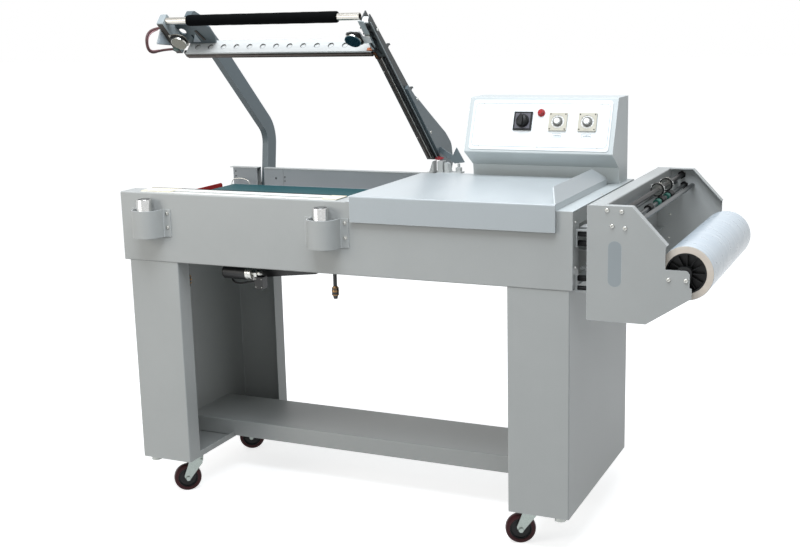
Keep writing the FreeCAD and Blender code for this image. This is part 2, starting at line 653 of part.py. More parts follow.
def left_arm():
    """Gooseneck box arm: straight over the bay, then bent down to the shaft behind the table."""
    mid = 921.0
    half = 24.0
    drop = math.radians(BEND)
    along = V(0, math.cos(drop), -math.sin(drop))
    side = V(0, -along.z, along.y)
    corner_y = HINGE_Y - (mid - HINGE_Z) / math.tan(drop)
    shift = math.tan(drop / 2)

    def path(h, nose):
        low = V(0, HINGE_Y, HINGE_Z) - side * h
        high = V(0, HINGE_Y, HINGE_Z) + side * h
        return [(nose, mid - half + (half - h)), (corner_y - h * shift, mid - h, 56), (low.y, low.z),
                (high.y, high.z), (corner_y + h * shift, mid + h, 104), (150, mid + h),
                (nose + 34, mid + 12 - (half - h), 14), (nose, mid - 2 - (half - h), 12)]

    arm = prism("x", ARM_X[0], ARM_X[1], path(half, -67))
    wall = 2.5
    hollow = prism("x", ARM_X[0] + wall, ARM_X[1] - wall, path(half - wall, wall - 67))
    hollow = hollow.cut(rod(ARM_X[0] - 1, HINGE_Y, HINGE_Z, (1, 0, 0), half + 8, 40))
    eye = rod(ARM_X[0], HINGE_Y, HINGE_Z, (1, 0, 0), half, ARM_X[1] - ARM_X[0])
    arm = fuse(arm.cut(hollow), eye).cut(rod(ARM_X[0] - 1, HINGE_Y, HINGE_Z, (1, 0, 0), 10.3, 40))
    foot = prism("z", 893, 897, [(30, -40, 3), (146, -40, 3), (158, -25), (158, 14), (148, 37), (40, 37)])
    foot = foot.cut(rod(64, -12, 890, (0, 0, 1), 11, 10))
    foot = foot.cut(prism("z", 890, 899, [(82, 2, 4), (91, 2, 4), (97, 32, 4), (88, 32, 4)]))
    return fuse(arm, foot)


def right_cheek():
    """Curved cheek plate from the side bar down to the shaft."""
    plate = [(200, 866), (500, 866), (540, 866, 10), (566, 830, 20), (HINGE_Y - 22, HINGE_Z - 8),
             (HINGE_Y, HINGE_Z - 24, 22), (HINGE_Y + 24, HINGE_Z, 22), (HINGE_Y + 26, 840, 60),
             (590, 915, 40), (545, 946, 40), (490, 942, 60), (360, 911), (268, 890), (250, 884), (200, 878)]
    web = prism("x", RIGHT_ARM_X[0], RIGHT_ARM_X[1], plate)
    eye = rod(RIGHT_ARM_X[0], HINGE_Y, HINGE_Z, (1, 0, 0), 24, RIGHT_ARM_X[1] - RIGHT_ARM_X[0])
    return fuse(web, eye).cut(rod(RIGHT_ARM_X[0] - 1, HINGE_Y, HINGE_Z, (1, 0, 0), 10.3, 40))


def stop_plate():
    """Pointed plate on the cheek's outer face; it comes down on the stop post when the jaw is open."""
    face = RIGHT_ARM_X[1]
    return prism("y", 599, 604, [(face - 0.5, 920), (717, 896), (728.5, 919), (753, 877), (723, 873),
                                 (face - 0.5, 902)])


def side_jaw_bar():
    """U channel over the side seal, its walls cut to points at the front, with hooks on top."""
    x0, x1 = SIDE_BAR_X
    low = BAR_BOTTOM - 4
    rear = 508
    web = box(x0, x1, -66, rear, low, low + 4)
    left = prism("x", x0, x0 + 3, [(-66, low), (rear, low), (rear, 880), (470, 905), (-61, 907)])
    right = prism("x", x1 - 3, x1, [(-76, low), (rear, low), (rear, 884), (349, 895), (270, 893),
                                    (145, 887), (-81, 876)])
    shape = fuse(web, left, right)
    for y, top in ((48.0, 884.0), (234.0, 893.0)):
        hook = prism("x", x1 - 3, x1, [(y - 5, top - 8), (y + 5, top - 8), (y + 5, top + 6),
                                       (y + 11, top + 13), (y + 4, top + 13), (y - 5, top + 5)])
        shape = shape.fuse(hook)
    for y in (-26.0, 413.0):
        shape = shape.fuse(rod(x1 - 0.5, y, 872, (1, 0, 0), 4, 2.6 if y < 0 else 1.0))
    return shape.removeSplitter()


def front_jaw_bar():
    """Hollow bar behind the cover plate, closed by the side bar at its right end."""
    bar = box(52.3, SIDE_BAR_X[0] - GAP, 40, 58, BAR_BOTTOM, 871)
    posts = [box(x0, x1, 40, 43, 870, 896.7) for x0, x1 in ((102, 126), (312, 332), (600, 632))]
    seat = box(*ARM_X, 40, 58, 893.7, 896.7)
    return fuse(bar, *posts, seat)


def front_cover_plate():
    plate = prism("y", 37.5, 39.7, [(62, 855.5, 2), (635, 855.5, 2), (635, 903), (62, 903, 2)])
    plate = plate.cut(box(ARM_X[0] - GAP, ARM_X[1] + GAP, 30, 45, 896.7, 910))
    for i in range(12):
        plate = plate.cut(rod(93 + 41.6 * i, 30, 880, (0, 1, 0), 8.5, 20))
    return plate


def jaw_knives():
    """Heated knife carriers: one under the front bar, two strips under the side bar."""
    front = prism("x", 62, 634, [(41, 861.7), (57, 861.7), (57, 856.5), (51.5, 856.5),
                                 (50, FRONT_PAD_TOP + 0.5), (48, FRONT_PAD_TOP + 0.5), (46.5, 856.5),
                                 (41, 856.5)])
    low = BAR_BOTTOM - 4 - GAP
    inner = prism("y", 62, 492, [(645, low), (654, low), (654, 854), (651, SIDE_PAD_TOP + 0.5),
                                 (648, SIDE_PAD_TOP + 0.5), (645, 854)])
    outer = box(660, 667, 62, 498, 852.5, low)
    return Part.makeCompound([front, inner, outer])


CABLE_OUT = (-40.0, 884.0)
CABLE_IN = (30.0, 867.0)


def handle_bracket():
    """Short hollow bar that carries the left end of the handle, with a gusset below it."""
    bar = prism("x", 32, 52, [(-83, 858, 3), (38, 858), (38, 892.7), (-83, 892.7, 3)])
    bar = bar.cut(box(35, 49, -78, 50, 861, 889.5))
    bar = bar.cut(rod(40, HANDLE_Y, HANDLE_Z, (1, 0, 0), 9.55, 20))
    gusset = prism("x", 28, 32.2, [(-58, 866), (-46, 818, 3), (10, 862), (10, 866)])
    shape = fuse(bar, gusset, box(28, 33, -58, 10, 864, 868))
    for y, z in (CABLE_OUT, CABLE_IN):
        shape = shape.cut(rod(20, y, z, (1, 0, 0), CABLE_R + 0.3, 20))
    return shape


GRIP_X = (120.0, 575.0)


def foam_grip():
    """Foam sleeve with its end edges drawn in."""
    section = [(9.8, 0), (12.5, 0), (15, 3.5), (15, GRIP_X[1] - GRIP_X[0] - 3.5),
               (12.5, GRIP_X[1] - GRIP_X[0]), (9.8, GRIP_X[1] - GRIP_X[0])]
    sleeve = Part.Face(outline("z", 0, [(along, r) for r, along in section])).revolve(V(0, 0, 0),
                                                                                      V(1, 0, 0), 360)
    sleeve.translate(V(GRIP_X[0], HANDLE_Y, HANDLE_Z))
    return sleeve


ARMATURE_SHIFT = -6.0


def armature(x):
    """Steel disc on a backing ring and rubber washer, hung on a stem that lets it settle on the magnet."""
    axis = V(x + ARMATURE_SHIFT, MAGNET_Y, 0)
    steps = ((22.0, MAGNET_TOP + 0.5, 845.0), (23.5, 845.0, 853.0))
    rings = [rod(axis.x, axis.y, low, (0, 0, 1), r, high - low) for r, low, high in steps]
    stem = rod(axis.x, axis.y, 853, (0, 0, 1), 4, 892.7 - 853)
    return fuse(*rings, stem)


def armature_bracket():
    """Angle from the side bar that carries the right armature."""
    x = MAGNET_X[1] + ARMATURE_SHIFT
    shelf = prism("z", 892.7, 896, [(x - 14, MAGNET_Y - 12, 5), (SIDE_BAR_X[0] - GAP, MAGNET_Y - 30, 2),
                                    (SIDE_BAR_X[0] - GAP, MAGNET_Y + 22, 2), (x - 14, MAGNET_Y + 12, 5)])
    wing = box(SIDE_BAR_X[0] - GAP - 3, SIDE_BAR_X[0] - GAP, MAGNET_Y - 28, MAGNET_Y + 20, 872, 896)
    return fuse(shelf, wing)


CABLE_R = 3.5


def jaw_cable():
    """Supply cable: out of the handle bracket, one loop beside it and back in through the lower hole."""
    points = [V(45, CABLE_OUT[0], CABLE_OUT[1]), V(-10, CABLE_OUT[0], CABLE_OUT[1]), V(-10, -58, 838),
              V(-10, -16, 808), V(-10, CABLE_IN[0], CABLE_IN[1]), V(45, CABLE_IN[0], CABLE_IN[1])]
    edges = []
    start = points[0]
    radii = []
    for before, corner, after in zip(points, points[1:], points[2:]):
        back = before - corner
        ahead = after - corner
        run = min(back.Length, ahead.Length)
        half = back.getAngle(ahead) / 2
        reach = 0.45 * run
        radius = reach * math.tan(half)
        back.normalize()
        ahead.normalize()
        middle = (back + ahead).normalize()
        centre = corner + middle * (radius / math.sin(half))
        edges.append(Part.makeLine(start, corner + back * reach))
        edges.append(Part.Arc(corner + back * reach, centre - middle * radius,
                              corner + ahead * reach).toShape())
        start = corner + ahead * reach
        radii.append(round(radius, 1))
    edges.append(Part.makeLine(start, points[-1]))
    spine = Part.Wire(edges)
    circle = Part.Wire(Part.makeCircle(CABLE_R, points[0], points[1] - points[0]))
    cable = spine.makePipeShell([circle], True, False)
    share = cable.Volume / (math.pi * CABLE_R ** 2 * spine.Length)
    print("jaw_cable radii", radii, "length", round(spine.Length, 1), "volume share", round(share, 4))
    return cable


JAW = {
    "jaw_shaft": rod(56, HINGE_Y, HINGE_Z, (1, 0, 0), 10, 662),
    "left_arm": left_arm(),
    "right_arm": right_cheek(),
    "side_jaw_bar": side_jaw_bar(),
    "front_jaw_bar": front_jaw_bar(),
    "front_cover_plate": front_cover_plate(),
    "jaw_knives": jaw_knives(),
    "handle_bracket": handle_bracket(),
    "handle_tube": rod(46, HANDLE_Y, HANDLE_Z, (1, 0, 0), 9.5, SIDE_BAR_X[0] - GAP - 46).cut(
        rod(40, HANDLE_Y, HANDLE_Z, (1, 0, 0), 7.5, 700)),
    "foam_grip": foam_grip(),
    "armatures": Part.makeCompound([armature(MAGNET_X[0]), fuse(armature(MAGNET_X[1]), armature_bracket())]),
    "jaw_cable": jaw_cable(),
}
for name, shape in JAW.items():
    keep(name, swing(shape))
nodes["right_arm"] = fuse(nodes["right_arm"], stop_plate())

# ---------------------------------------------------------------- film unwinder on the right end

PLATE_SHAPE = [(0, 867), (102, 867, 6), (181, 783, 2), (178, 779), (178, 730, 2), (226, 730, 7), (232, 722),
               (232, 692), (237, 690), (237, 668, 3), (137, 602, 3), (0, 602, 3)]


def unwinder_plate(y0, inward):
    """Side plate with flanges folded inwards along its top and sloping edge."""
    points = [(UNWIND_X + p[0],) + tuple(p[1:]) for p in PLATE_SHAPE]
    plate = prism("y", y0, y0 + SHEET, points)
    depth = 20.0
    y1, y2 = sorted((y0 + SHEET if inward > 0 else y0, y0 + SHEET + depth if inward > 0 else y0 - depth))
    rim_path = [(UNWIND_X + 40, 866), (UNWIND_X + 101.6, 866), (UNWIND_X + 180.3, 782.3)]
    rim = bent_strip("y", y1, y2, rim_path, SHEET, 3.0)
    plate = plate.fuse(rim)
    face = y0 if inward > 0 else y0 + SHEET
    slot = prism("y", face - 0.8, face + 0.8, [(UNWIND_X + 50, 784, 14), (UNWIND_X + 80, 784, 14),
                                               (UNWIND_X + 80, 686, 14), (UNWIND_X + 50, 686, 14)])
    return plate.cut(slot)


def unwinder_web():
    """Cross sheet between the plates: top strip with a turned lip, web, and body mounting lugs."""
    y0 = SHEET + GAP
    y1 = UNWIND_SPAN - GAP
    sheet = bent_strip("y", y0, y1, [(UNWIND_X + 38, 845), (UNWIND_X + 38, 866), (UNWIND_X + 1, 866),
                                     (UNWIND_X + 1, 700), (UNWIND_X + 20, 700)], SHEET, 1.5)
    lugs = [box(LENGTH + GAP, UNWIND_X + 0.5, y, y + 40, z, z + 4) for y in (60, 430) for z in (705, 802)]
    return fuse(sheet, *lugs)


def guide_rods():
    ends = [(UNWIND_X + 52, 828, 5), (UNWIND_X + 97, 820, 6)]
    return Part.makeCompound([rod(x, SHEET + GAP, z, (0, 1, 0), r, UNWIND_SPAN - SHEET - 2 * GAP) for x, z,
                              r in ends])


NEEDLE_AT = (UNWIND_X + 68, 848.0)
RUBBER_AT = (UNWIND_X + 75, 820.0)
NEEDLE_WHEELS = (400.0, 500.0)


def needle_shaft():
    x, z = NEEDLE_AT
    shape = rod(x, SHEET + 1, z, (0, 1, 0), 6, UNWIND_SPAN - SHEET - 2)
    for y in NEEDLE_WHEELS:
        shape = shape.fuse(rod(x, y, z, (0, 1, 0), 17, 12))
    return shape.removeSplitter()


def rubber_shaft():
    x, z = RUBBER_AT
    shape = rod(x, SHEET + 1, z, (0, 1, 0), 5, UNWIND_SPAN - SHEET - 2)
    for y in NEEDLE_WHEELS:
        shape = shape.fuse(rod(x, y - 10, z, (0, 1, 0), 11, 32))
    return shape.removeSplitter()


ROLL_Y = (16.0, 520.0)
ROLL_R = 61.0
CORE_R = 44.0


def film_roll():
    roll = rod(ROLL_X, ROLL_Y[0], ROLL_Z, (0, 1, 0), ROLL_R, ROLL_Y[1] - ROLL_Y[0])
    return roll.cut(rod(ROLL_X, ROLL_Y[0] - 1, ROLL_Z, (0, 1, 0), CORE_R, 600))


def roll_spindle():
    shape = rod(ROLL_X, SHEET + 1, ROLL_Z, (0, 1, 0), 10, UNWIND_SPAN - SHEET - 2)
    for y, tip in ((30.0, 1), (510.0, -1)):
        chuck = Part.makeCone(CORE_R - GAP, CORE_R - 14, 26, V(ROLL_X, y, ROLL_Z), V(0, tip, 0))
        shape = shape.fuse(chuck)
    return shape.removeSplitter()


def spindle_blocks():
    pieces = []
    for y0 in (SHEET + GAP, UNWIND_SPAN - GAP - 12):
        block = prism("y", y0, y0 + 12, [(ROLL_X - 37, 703), (ROLL_X + 12, 703), (ROLL_X + 16, 738, 12),
                                         (ROLL_X - 16, 738, 12), (ROLL_X - 20, 714), (ROLL_X - 37, 714)])
        pieces.append(block.cut(rod(ROLL_X, y0 - 5, ROLL_Z, (0, 1, 0), 10.05, 30)))
    return Part.makeCompound(pieces)


def bearing_flanges():
    pieces = []
    for y0 in (SHEET + GAP, UNWIND_SPAN - GAP - 5):
        for (x, z), r in ((NEEDLE_AT, 6.05), (RUBBER_AT, 5.05)):
            flange = prism("y", y0, y0 + 5, hexagon(x, z, 11, 30))
            pieces.append(flange.cut(rod(x, y0 - 1, z, (0, 1, 0), r, 8)))
    return pieces


keep("unwinder_front_plate", unwinder_plate(0.0, 1))
keep("unwinder_rear_plate", unwinder_plate(UNWIND_SPAN, -1))
keep("unwinder_web", unwinder_web())
keep("guide_rods", guide_rods())
keep("needle_shaft", needle_shaft())
keep("rubber_shaft", rubber_shaft())
keep("film_roll", film_roll())
keep("roll_spindle", roll_spindle())
keep("spindle_blocks", Part.makeCompound(spindle_blocks().Solids + bearing_flanges()))

# ---------------------------------------------------------------- write the pieces

everything = Part.makeCompound(list(nodes.values()))
bounds = everything.optimalBoundingBox(False, False)
FRAME_SHIFT = V(-(bounds.XMin + bounds.XMax) / 2, -(bounds.YMin + bounds.YMax) / 2, -bounds.ZMin)
print("bounds", [round(v, 3) for v in (bounds.XMin, bounds.XMax, bounds.YMin, bounds.YMax, bounds.ZMin,
                                       bounds.ZMax)])
print("shift", [round(v, 4) for v in FRAME_SHIFT], "nodes", len(nodes))
for name, shape in nodes.items():
    placed = shape.copy()
    placed.translate(FRAME_SHIFT)
    if not placed.isValid():
        print("not valid", name)
    placed.exportStep("parts/" + name + ".step")
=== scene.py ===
import json
import math

import bmesh
import bpy
from mathutils import Matrix, Vector


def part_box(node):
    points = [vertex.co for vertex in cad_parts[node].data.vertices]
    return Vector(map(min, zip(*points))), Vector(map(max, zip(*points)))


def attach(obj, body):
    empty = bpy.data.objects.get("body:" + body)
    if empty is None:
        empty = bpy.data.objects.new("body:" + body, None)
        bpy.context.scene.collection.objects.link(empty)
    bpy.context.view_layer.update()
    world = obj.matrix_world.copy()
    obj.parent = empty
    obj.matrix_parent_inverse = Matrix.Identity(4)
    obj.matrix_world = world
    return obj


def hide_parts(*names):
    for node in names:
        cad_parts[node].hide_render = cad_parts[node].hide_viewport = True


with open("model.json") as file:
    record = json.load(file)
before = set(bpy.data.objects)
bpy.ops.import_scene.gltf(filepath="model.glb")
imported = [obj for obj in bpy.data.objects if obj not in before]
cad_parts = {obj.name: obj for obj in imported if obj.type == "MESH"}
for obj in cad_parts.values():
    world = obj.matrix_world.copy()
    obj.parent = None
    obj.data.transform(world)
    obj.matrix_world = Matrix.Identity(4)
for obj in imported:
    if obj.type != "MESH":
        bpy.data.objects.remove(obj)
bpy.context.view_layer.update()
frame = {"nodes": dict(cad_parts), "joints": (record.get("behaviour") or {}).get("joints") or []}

# -------------------------------- standing place
# The machine stands on a pale studio floor. A long lens looks down at it from the
# front right, a little rolled, so that the film side comes forward.

LENS = 54.66
AZIMUTH = math.radians(24.719)
ELEVATION = math.radians(12.026)
ROLL = math.radians(-1.415)
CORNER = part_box("front_panel")[0]
EYE = Vector((CORNER[0] + 2.0247, CORNER[1] - 2.6222, 1.2942))

right = Vector((math.cos(AZIMUTH), math.sin(AZIMUTH), 0))
back = Vector((math.sin(AZIMUTH) * math.cos(ELEVATION), -math.cos(AZIMUTH) * math.cos(ELEVATION),
    math.sin(ELEVATION)))
up = back.cross(right)
camera = bpy.data.objects.new("camera", bpy.data.cameras.new("camera"))
camera.data.lens = LENS
camera.data.clip_end = 60
rolled_right = right * math.cos(ROLL) + up * math.sin(ROLL)
rolled_up = up * math.cos(ROLL) - right * math.sin(ROLL)
axes = Matrix((rolled_right, rolled_up, back))
camera.matrix_world = Matrix.Translation(EYE) @ axes.transposed().to_4x4()
bpy.context.scene.collection.objects.link(camera)
bpy.context.scene.camera = camera


def srgb(code):
    """An sRGB hex colour as the linear values that a shader takes."""
    parts = [int(code[i:i + 2], 16) / 255 for i in (1, 3, 5)]
    return tuple(c / 12.92 if c <= 0.04045 else ((c + 0.055) / 1.055) ** 2.4 for c in parts) + (1.0,)


def add(tree, kind, links=None, **settings):
    """A node with its settings; a link is a socket to read from, or a plain value."""
    node = tree.nodes.new("ShaderNode" + kind)
    for name, value in settings.items():
        setattr(node, name, value)
    for name, value in (links or {}).items():
        if isinstance(value, bpy.types.NodeSocket):
            tree.links.new(value, node.inputs[name])
        else:
            node.inputs[name].default_value = value
    return node


def directly_seen(tree):
    """1 for what the camera sees, straight, in a gloss or through glass; 0 for light that fills the scene."""
    rays = add(tree, "LightPath").outputs
    seen = rays["Is Camera Ray"]
    for kind in ("Is Transmission Ray", "Is Glossy Ray"):
        seen = add(tree, "Math", {0: seen, 1: rays[kind]}, operation="MAXIMUM").outputs[0]
    return seen


world = bpy.data.worlds.new("studio")
bpy.context.scene.world = world
world.use_nodes = True
sky = world.node_tree
sky.nodes.clear()
soft = add(sky, "Background", {"Color": srgb("#eef3f6"), "Strength": 0.43})
white = add(sky, "Background", {"Color": srgb("#ffffff"), "Strength": 1.0})
both = add(sky, "MixShader", {0: directly_seen(sky), 1: soft.outputs[0], 2: white.outputs[0]})
add(sky, "OutputWorld", {"Surface": both.outputs[0]})

floor_sheet = bpy.data.meshes.new("floor")
floor_sheet.from_pydata([(-30, -30, 0), (30, -30, 0), (30, 30, 0), (-30, 30, 0)], [], [(0, 1, 2, 3)])
floor = bpy.data.objects.new("floor", floor_sheet)
bpy.context.scene.collection.objects.link(floor)
pale = bpy.data.materials.new("floor_paint")
pale.use_nodes = True
ground = pale.node_tree
ground.nodes.clear()
dull = add(ground, "BsdfDiffuse", {"Color": srgb("#a3a4a3")})
bright = add(ground, "BsdfDiffuse", {"Color": srgb("#e6e6e6")})
glow = add(ground, "Emission", {"Color": srgb("#ffffff"), "Strength": 0.72})
lit = add(ground, "AddShader", {0: bright.outputs[0], 1: glow.outputs[0]})
both = add(ground, "MixShader", {0: directly_seen(ground), 1: dull.outputs[0], 2: lit.outputs[0]})
add(ground, "OutputMaterial", {"Surface": both.outputs[0]})
floor_sheet.materials.append(pale)

for name, place, size, power, colour in (
    ("top_softbox", (0.2, -0.95, 3.3), 2.4, 97, "#f2f8ff"),
    ("front_softbox", (-2.5, -3.0, 1.7), 2.0, 40, "#fffaf3"),
):
    lamp = bpy.data.lights.new(name, "AREA")
    lamp.shape = "DISK"
    lamp.size = size
    lamp.energy = power
    lamp.color = srgb(colour)[:3]
    holder = bpy.data.objects.new(name, lamp)
    holder.location = place
    holder.rotation_euler = (Vector((0, 0, 0.6)) - holder.location).to_track_quat("-Z", "Y").to_euler()
    bpy.context.scene.collection.objects.link(holder)
bpy.context.scene.view_settings.view_transform = "Standard"

# -------------------------------- folded sheet metal
# Table box, legs, shelf, control box and unwinder plates are 2 mm steel sheet, folded,
# welded and powder coated light grey, then baked.


def start(name, **values):
    """A new material with one shader: its object coordinates, tree and shader come back too."""
    material = bpy.data.materials.new(name)
    material.use_nodes = True
    tree = material.node_tree
    tree.nodes.clear()
    shader = add(tree, "BsdfPrincipled", values)
    add(tree, "OutputMaterial", {"Surface": shader.outputs[0]})
    return material, tree, shader, add(tree, "TexCoord").outputs["Object"]


def feed(tree, shader, links):
    for socket, source in links.items():
        tree.links.new(source, shader.inputs[socket])


def noise(tree, where, width, detail, **more):
    """Cloudy noise with patches about width metres across."""
    return add(tree, "TexNoise", {"Vector": where, "Scale": 1 / width, "Detail": detail, **more}).outputs[0]


def spread(tree, value, low, high):
    """A 0 to 1 pattern stretched between two values."""
    return add(tree, "MapRange", {"Value": value, "To Min": low, "To Max": high}).outputs[0]


def relief(tree, shader, height, strength, depth):
    """Bumps in the surface where a pattern is high; depth is in metres."""
    bump = add(tree, "Bump", {"Strength": strength, "Distance": depth, "Height": height})
    feed(tree, shader, {"Normal": bump.outputs[0]})


def shade(colour, factor):
    """A colour made darker by a factor."""
    return [c * factor for c in srgb(colour)[:3]] + [1.0]


def blend_colours(tree, factor, first, second):
    return add(tree, "Mix", {0: factor, 6: first, 7: second}, data_type="RGBA").outputs[2]


def worn_edges(tree, reach):
    """1 along edges that hands and packs rub, 0 on the flats; reach is in metres."""
    rounded = add(tree, "Bevel", {"Radius": reach}, samples=4).outputs[0]
    flat = add(tree, "NewGeometry").outputs["Normal"]
    same = add(tree, "VectorMath", {0: rounded, 1: flat}, operation="DOT_PRODUCT").outputs["Value"]
    return add(tree, "MapRange", {"Value": same, "From Min": 0.99, "From Max": 0.86}).outputs[0]


def powder_coat(name, colour, thin, rough):
    """Satin epoxy powder: an orange-peel ripple 1.6 mm wide, faint handling marks, and paler
    paint along the folds where the coat runs thin."""
    material, tree, shader, where = start(name)
    cloud = noise(tree, where, 0.16, 5.0, Roughness=0.6)
    grain = noise(tree, where, 0.0022, 2.0)
    peel = noise(tree, where, 0.0016, 1.0)
    body = blend_colours(tree, spread(tree, cloud, -0.35, 1.1), shade(colour, 0.9), srgb(colour))
    body = blend_colours(tree, spread(tree, grain, 0.0, 0.09), body, srgb(thin))
    body = blend_colours(tree, worn_edges(tree, 0.0011), body, srgb(thin))
    feed(tree, shader, {"Base Color": body, "Roughness": spread(tree, cloud, rough - 0.07, rough + 0.09)})
    relief(tree, shader, peel, 0.22, 0.00025)
    return material


def paint(material, *nodes):
    """Gives CAD nodes, whose shape stays, their finish."""
    for node in nodes:
        for place in frame["nodes"][node].material_slots:
            place.material = material


grey_coat = powder_coat("light_grey_powder_coat", "#b6b8b6", "#d6dadb", 0.42)
paint(grey_coat, "front_panel", "rear_panel", "end_panels", "left_leg", "right_leg", "lower_shelf")
paint(grey_coat, "unwinder_front_plate", "unwinder_rear_plate", "unwinder_web", "hinge_brackets")
# Painted shade: the wall at the back of the bay has a darker copy of the grey coat, for the shade in the
# recess.
paint(powder_coat("bay_wall_painted_shade", "#919598", "#b6babb", 0.46), "recess_wall")
# Painted light: the control box and top plate have a lighter, bluer copy of the grey coat, for light from
# above.
box_paint_lit_from_above = powder_coat("control_box_painted_light", "#c6cccc", "#e3e8e9", 0.36)
paint(box_paint_lit_from_above, "control_box", "top_plate")
# Painted light: the tray has a lighter, bluer copy of the grey coat, for light from above on its top.
tray_paint_lit_from_above = powder_coat("tray_painted_light", "#bcc2c4", "#eef3f4", 0.3)
paint(tray_paint_lit_from_above, "product_tray")

# -------------------------------- screws and rivets
# Button-head and pan-head steel screws, bright zinc plated, with washers on the magnet
# covers; each head is turned and has a forged hexagon or cross recess.

MM = 0.001
CRISP = math.radians(32)


def at(x, y, z):
    """A place in mm from the table box's front left corner on the floor."""
    return Vector((CORNER[0] + x * MM, CORNER[1] + y * MM, z * MM))


def finish_piece(piece, material, body):
    piece.data.materials.append(material)
    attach(piece, body)
    return piece


def mesh_piece(name, mesh, material, body):
    """A piece whose curved faces shade smooth, while its folds and rims stay crisp."""
    for face in mesh.polygons:
        face.use_smooth = True
    mesh.set_sharp_from_angle(angle=CRISP)
    piece = bpy.data.objects.new(name, mesh)
    bpy.context.scene.collection.objects.link(piece)
    return finish_piece(piece, material, body)


def turning(way):
    """Two directions square to a third."""
    way = Vector(way).normalized()
    side = way.orthogonal().normalized()
    return way, side, way.cross(side)


def turned(shape, foot, way, profile, segments=40, closed=False):
    """Adds a turned form to a bmesh: profile is (mm along the axis, mm radius)."""
    way, side, across = turning(way)
    rings = []
    for along, radius in profile:
        centre = foot + way * along * MM
        if radius < 1e-6:
            rings.append([shape.verts.new(centre)])
            continue
        ring = []
        for i in range(segments):
            angle = math.tau * i / segments
            spoke = side * math.cos(angle) + across * math.sin(angle)
            ring.append(shape.verts.new(centre + spoke * radius * MM))
        rings.append(ring)
    pairs = list(zip(rings, rings[1:])) + ([(rings[-1], rings[0])] if closed else [])
    for low, high in pairs:
        for i in range(segments):
            j = (i + 1) % segments
            if len(low) == 1 and len(high) > 1:
                shape.faces.new((low[0], high[i], high[j]))
            elif len(high) == 1 and len(low) > 1:
                shape.faces.new((low[i], low[j], high[0]))
            elif len(low) > 1:
                shape.faces.new((low[i], low[j], high[j], high[i]))


def to_mesh(shape, name):
    bmesh.ops.recalc_face_normals(shape, faces=shape.faces[:])
    mesh = bpy.data.meshes.new(name)
    shape.to_mesh(mesh)
    shape.free()
    return mesh


def lathe(name, foot, way, profile, material, body, segments=40, closed=False):
    shape = bmesh.new()
    turned(shape, foot, way, profile, segments, closed)
    return mesh_piece(name, to_mesh(shape, name), material, body)


def button_screws(name, places, radius, material, body, washer=0.0):
    """Domed heads with a hexagon recess; places are (foot, direction out of the sheet)."""
    shape = bmesh.new()
    for foot, way in places:
        base = 0.0
        if washer:
            turned(shape, foot, way, [(0, 0), (0, washer), (0.9, washer), (0.9, 0)], 32)
            base = 0.9
        tall = radius * 0.62
        dome = [(base + tall * math.sin(a), radius * (0.46 + 0.54 * math.cos(a)))
            for a in (0.0, 0.35, 0.75, 1.15, 1.5)]
        turned(shape, foot, way, [(base, 0), (base, radius)] + dome, 32)
        turned(shape, foot, way, [(base + tall, radius * 0.5), (base + tall, radius * 0.42)], 32)
        turned(shape, foot, way, [(base + tall, radius * 0.42), (base + tall * 0.4, radius * 0.36),
            (base + tall * 0.4, 0)], 6)
    return mesh_piece(name, to_mesh(shape, name), material, body)


def plated_steel(name, colour, rough):
    """Zinc or nickel plate over turned steel: bright, with a fine scatter of dull spots 3 mm wide."""
    material, tree, shader, where = start(name, Metallic=1.0)
    spots = noise(tree, where, 0.003, 3.0)
    body = blend_colours(tree, spread(tree, spots, -0.3, 1.3), shade(colour, 0.72), srgb(colour))
    feed(tree, shader, {"Base Color": body, "Roughness": spread(tree, spots, rough - 0.06, rough + 0.1)})
    return material


zinc = plated_steel("bright_zinc_plate", "#c9c9c4", 0.26)
FRONT = (0, -1, 0)
ALONG = (1, 0, 0)
TO_REAR = (0, 1, 0)
UP = (0, 0, 1)
MAGNETS_AT = (93.0, 618.0)
strap_screws = [(at(x + side, -2.0, z), FRONT) for x in MAGNETS_AT for side in (54.0, -48.0)
    for z in (760.0, 797.0)]
button_screws("strap_screws", strap_screws, 3.6, zinc, "frame", washer=5.2)
plate_marks = ((1329, 857), (1362, 855), (1341, 822), (1370, 818), (1469, 708), (1507, 708))
button_screws("unwinder_screws", [(at(x, 0, z), FRONT) for x, z in plate_marks], 5.2, zinc, "frame")
inner_rivets = [(at(x, 700, z), FRONT) for x, z in ((1320.6, 737.5), (1319.3, 672.0))]
button_screws("rear_plate_rivets", inner_rivets, 3.0, zinc, "frame")
end_screws = [(at(1250, y, z), ALONG) for y, z in ((22.8, 823), (22.7, 717))] + [(at(1243, 274, 850), UP)]
button_screws("end_panel_screws", end_screws, 3.0, zinc, "frame")

# -------------------------------- leg fittings and casters
# Bolted top plates and levelling feet in zinc plate; pressed forks; wheels with a dark red
# cast polyurethane tyre on a black nylon hub, running on a plain axle.

CORNERS = ("fl", "fr", "rl", "rr")
paint(plated_steel("zinc_plate_dull", "#a9aca8", 0.38), "leg_hardware")
paint(plated_steel("pressed_fork_zinc", "#9aa29d", 0.34), *["caster_fork_" + tag for tag in CORNERS])


def moulded(name, colour, pale, rough, grain_mm, depth_mm, sheen=0.5):
    """Moulded plastic or rubber: a fine spark-eroded grain and slightly uneven gloss."""
    material, tree, shader, where = start(name, **{"Specular IOR Level": sheen})
    grain = noise(tree, where, grain_mm * MM, 3.0)
    blotch = spread(tree, noise(tree, where, 0.02, 3.0), -0.3, 1.2)
    body = blend_colours(tree, blotch, srgb(colour), srgb(pale))
    feed(tree, shader, {"Base Color": body, "Roughness": spread(tree, grain, rough - 0.06, rough + 0.08)})
    relief(tree, shader, grain, 0.4, depth_mm * MM)
    return material


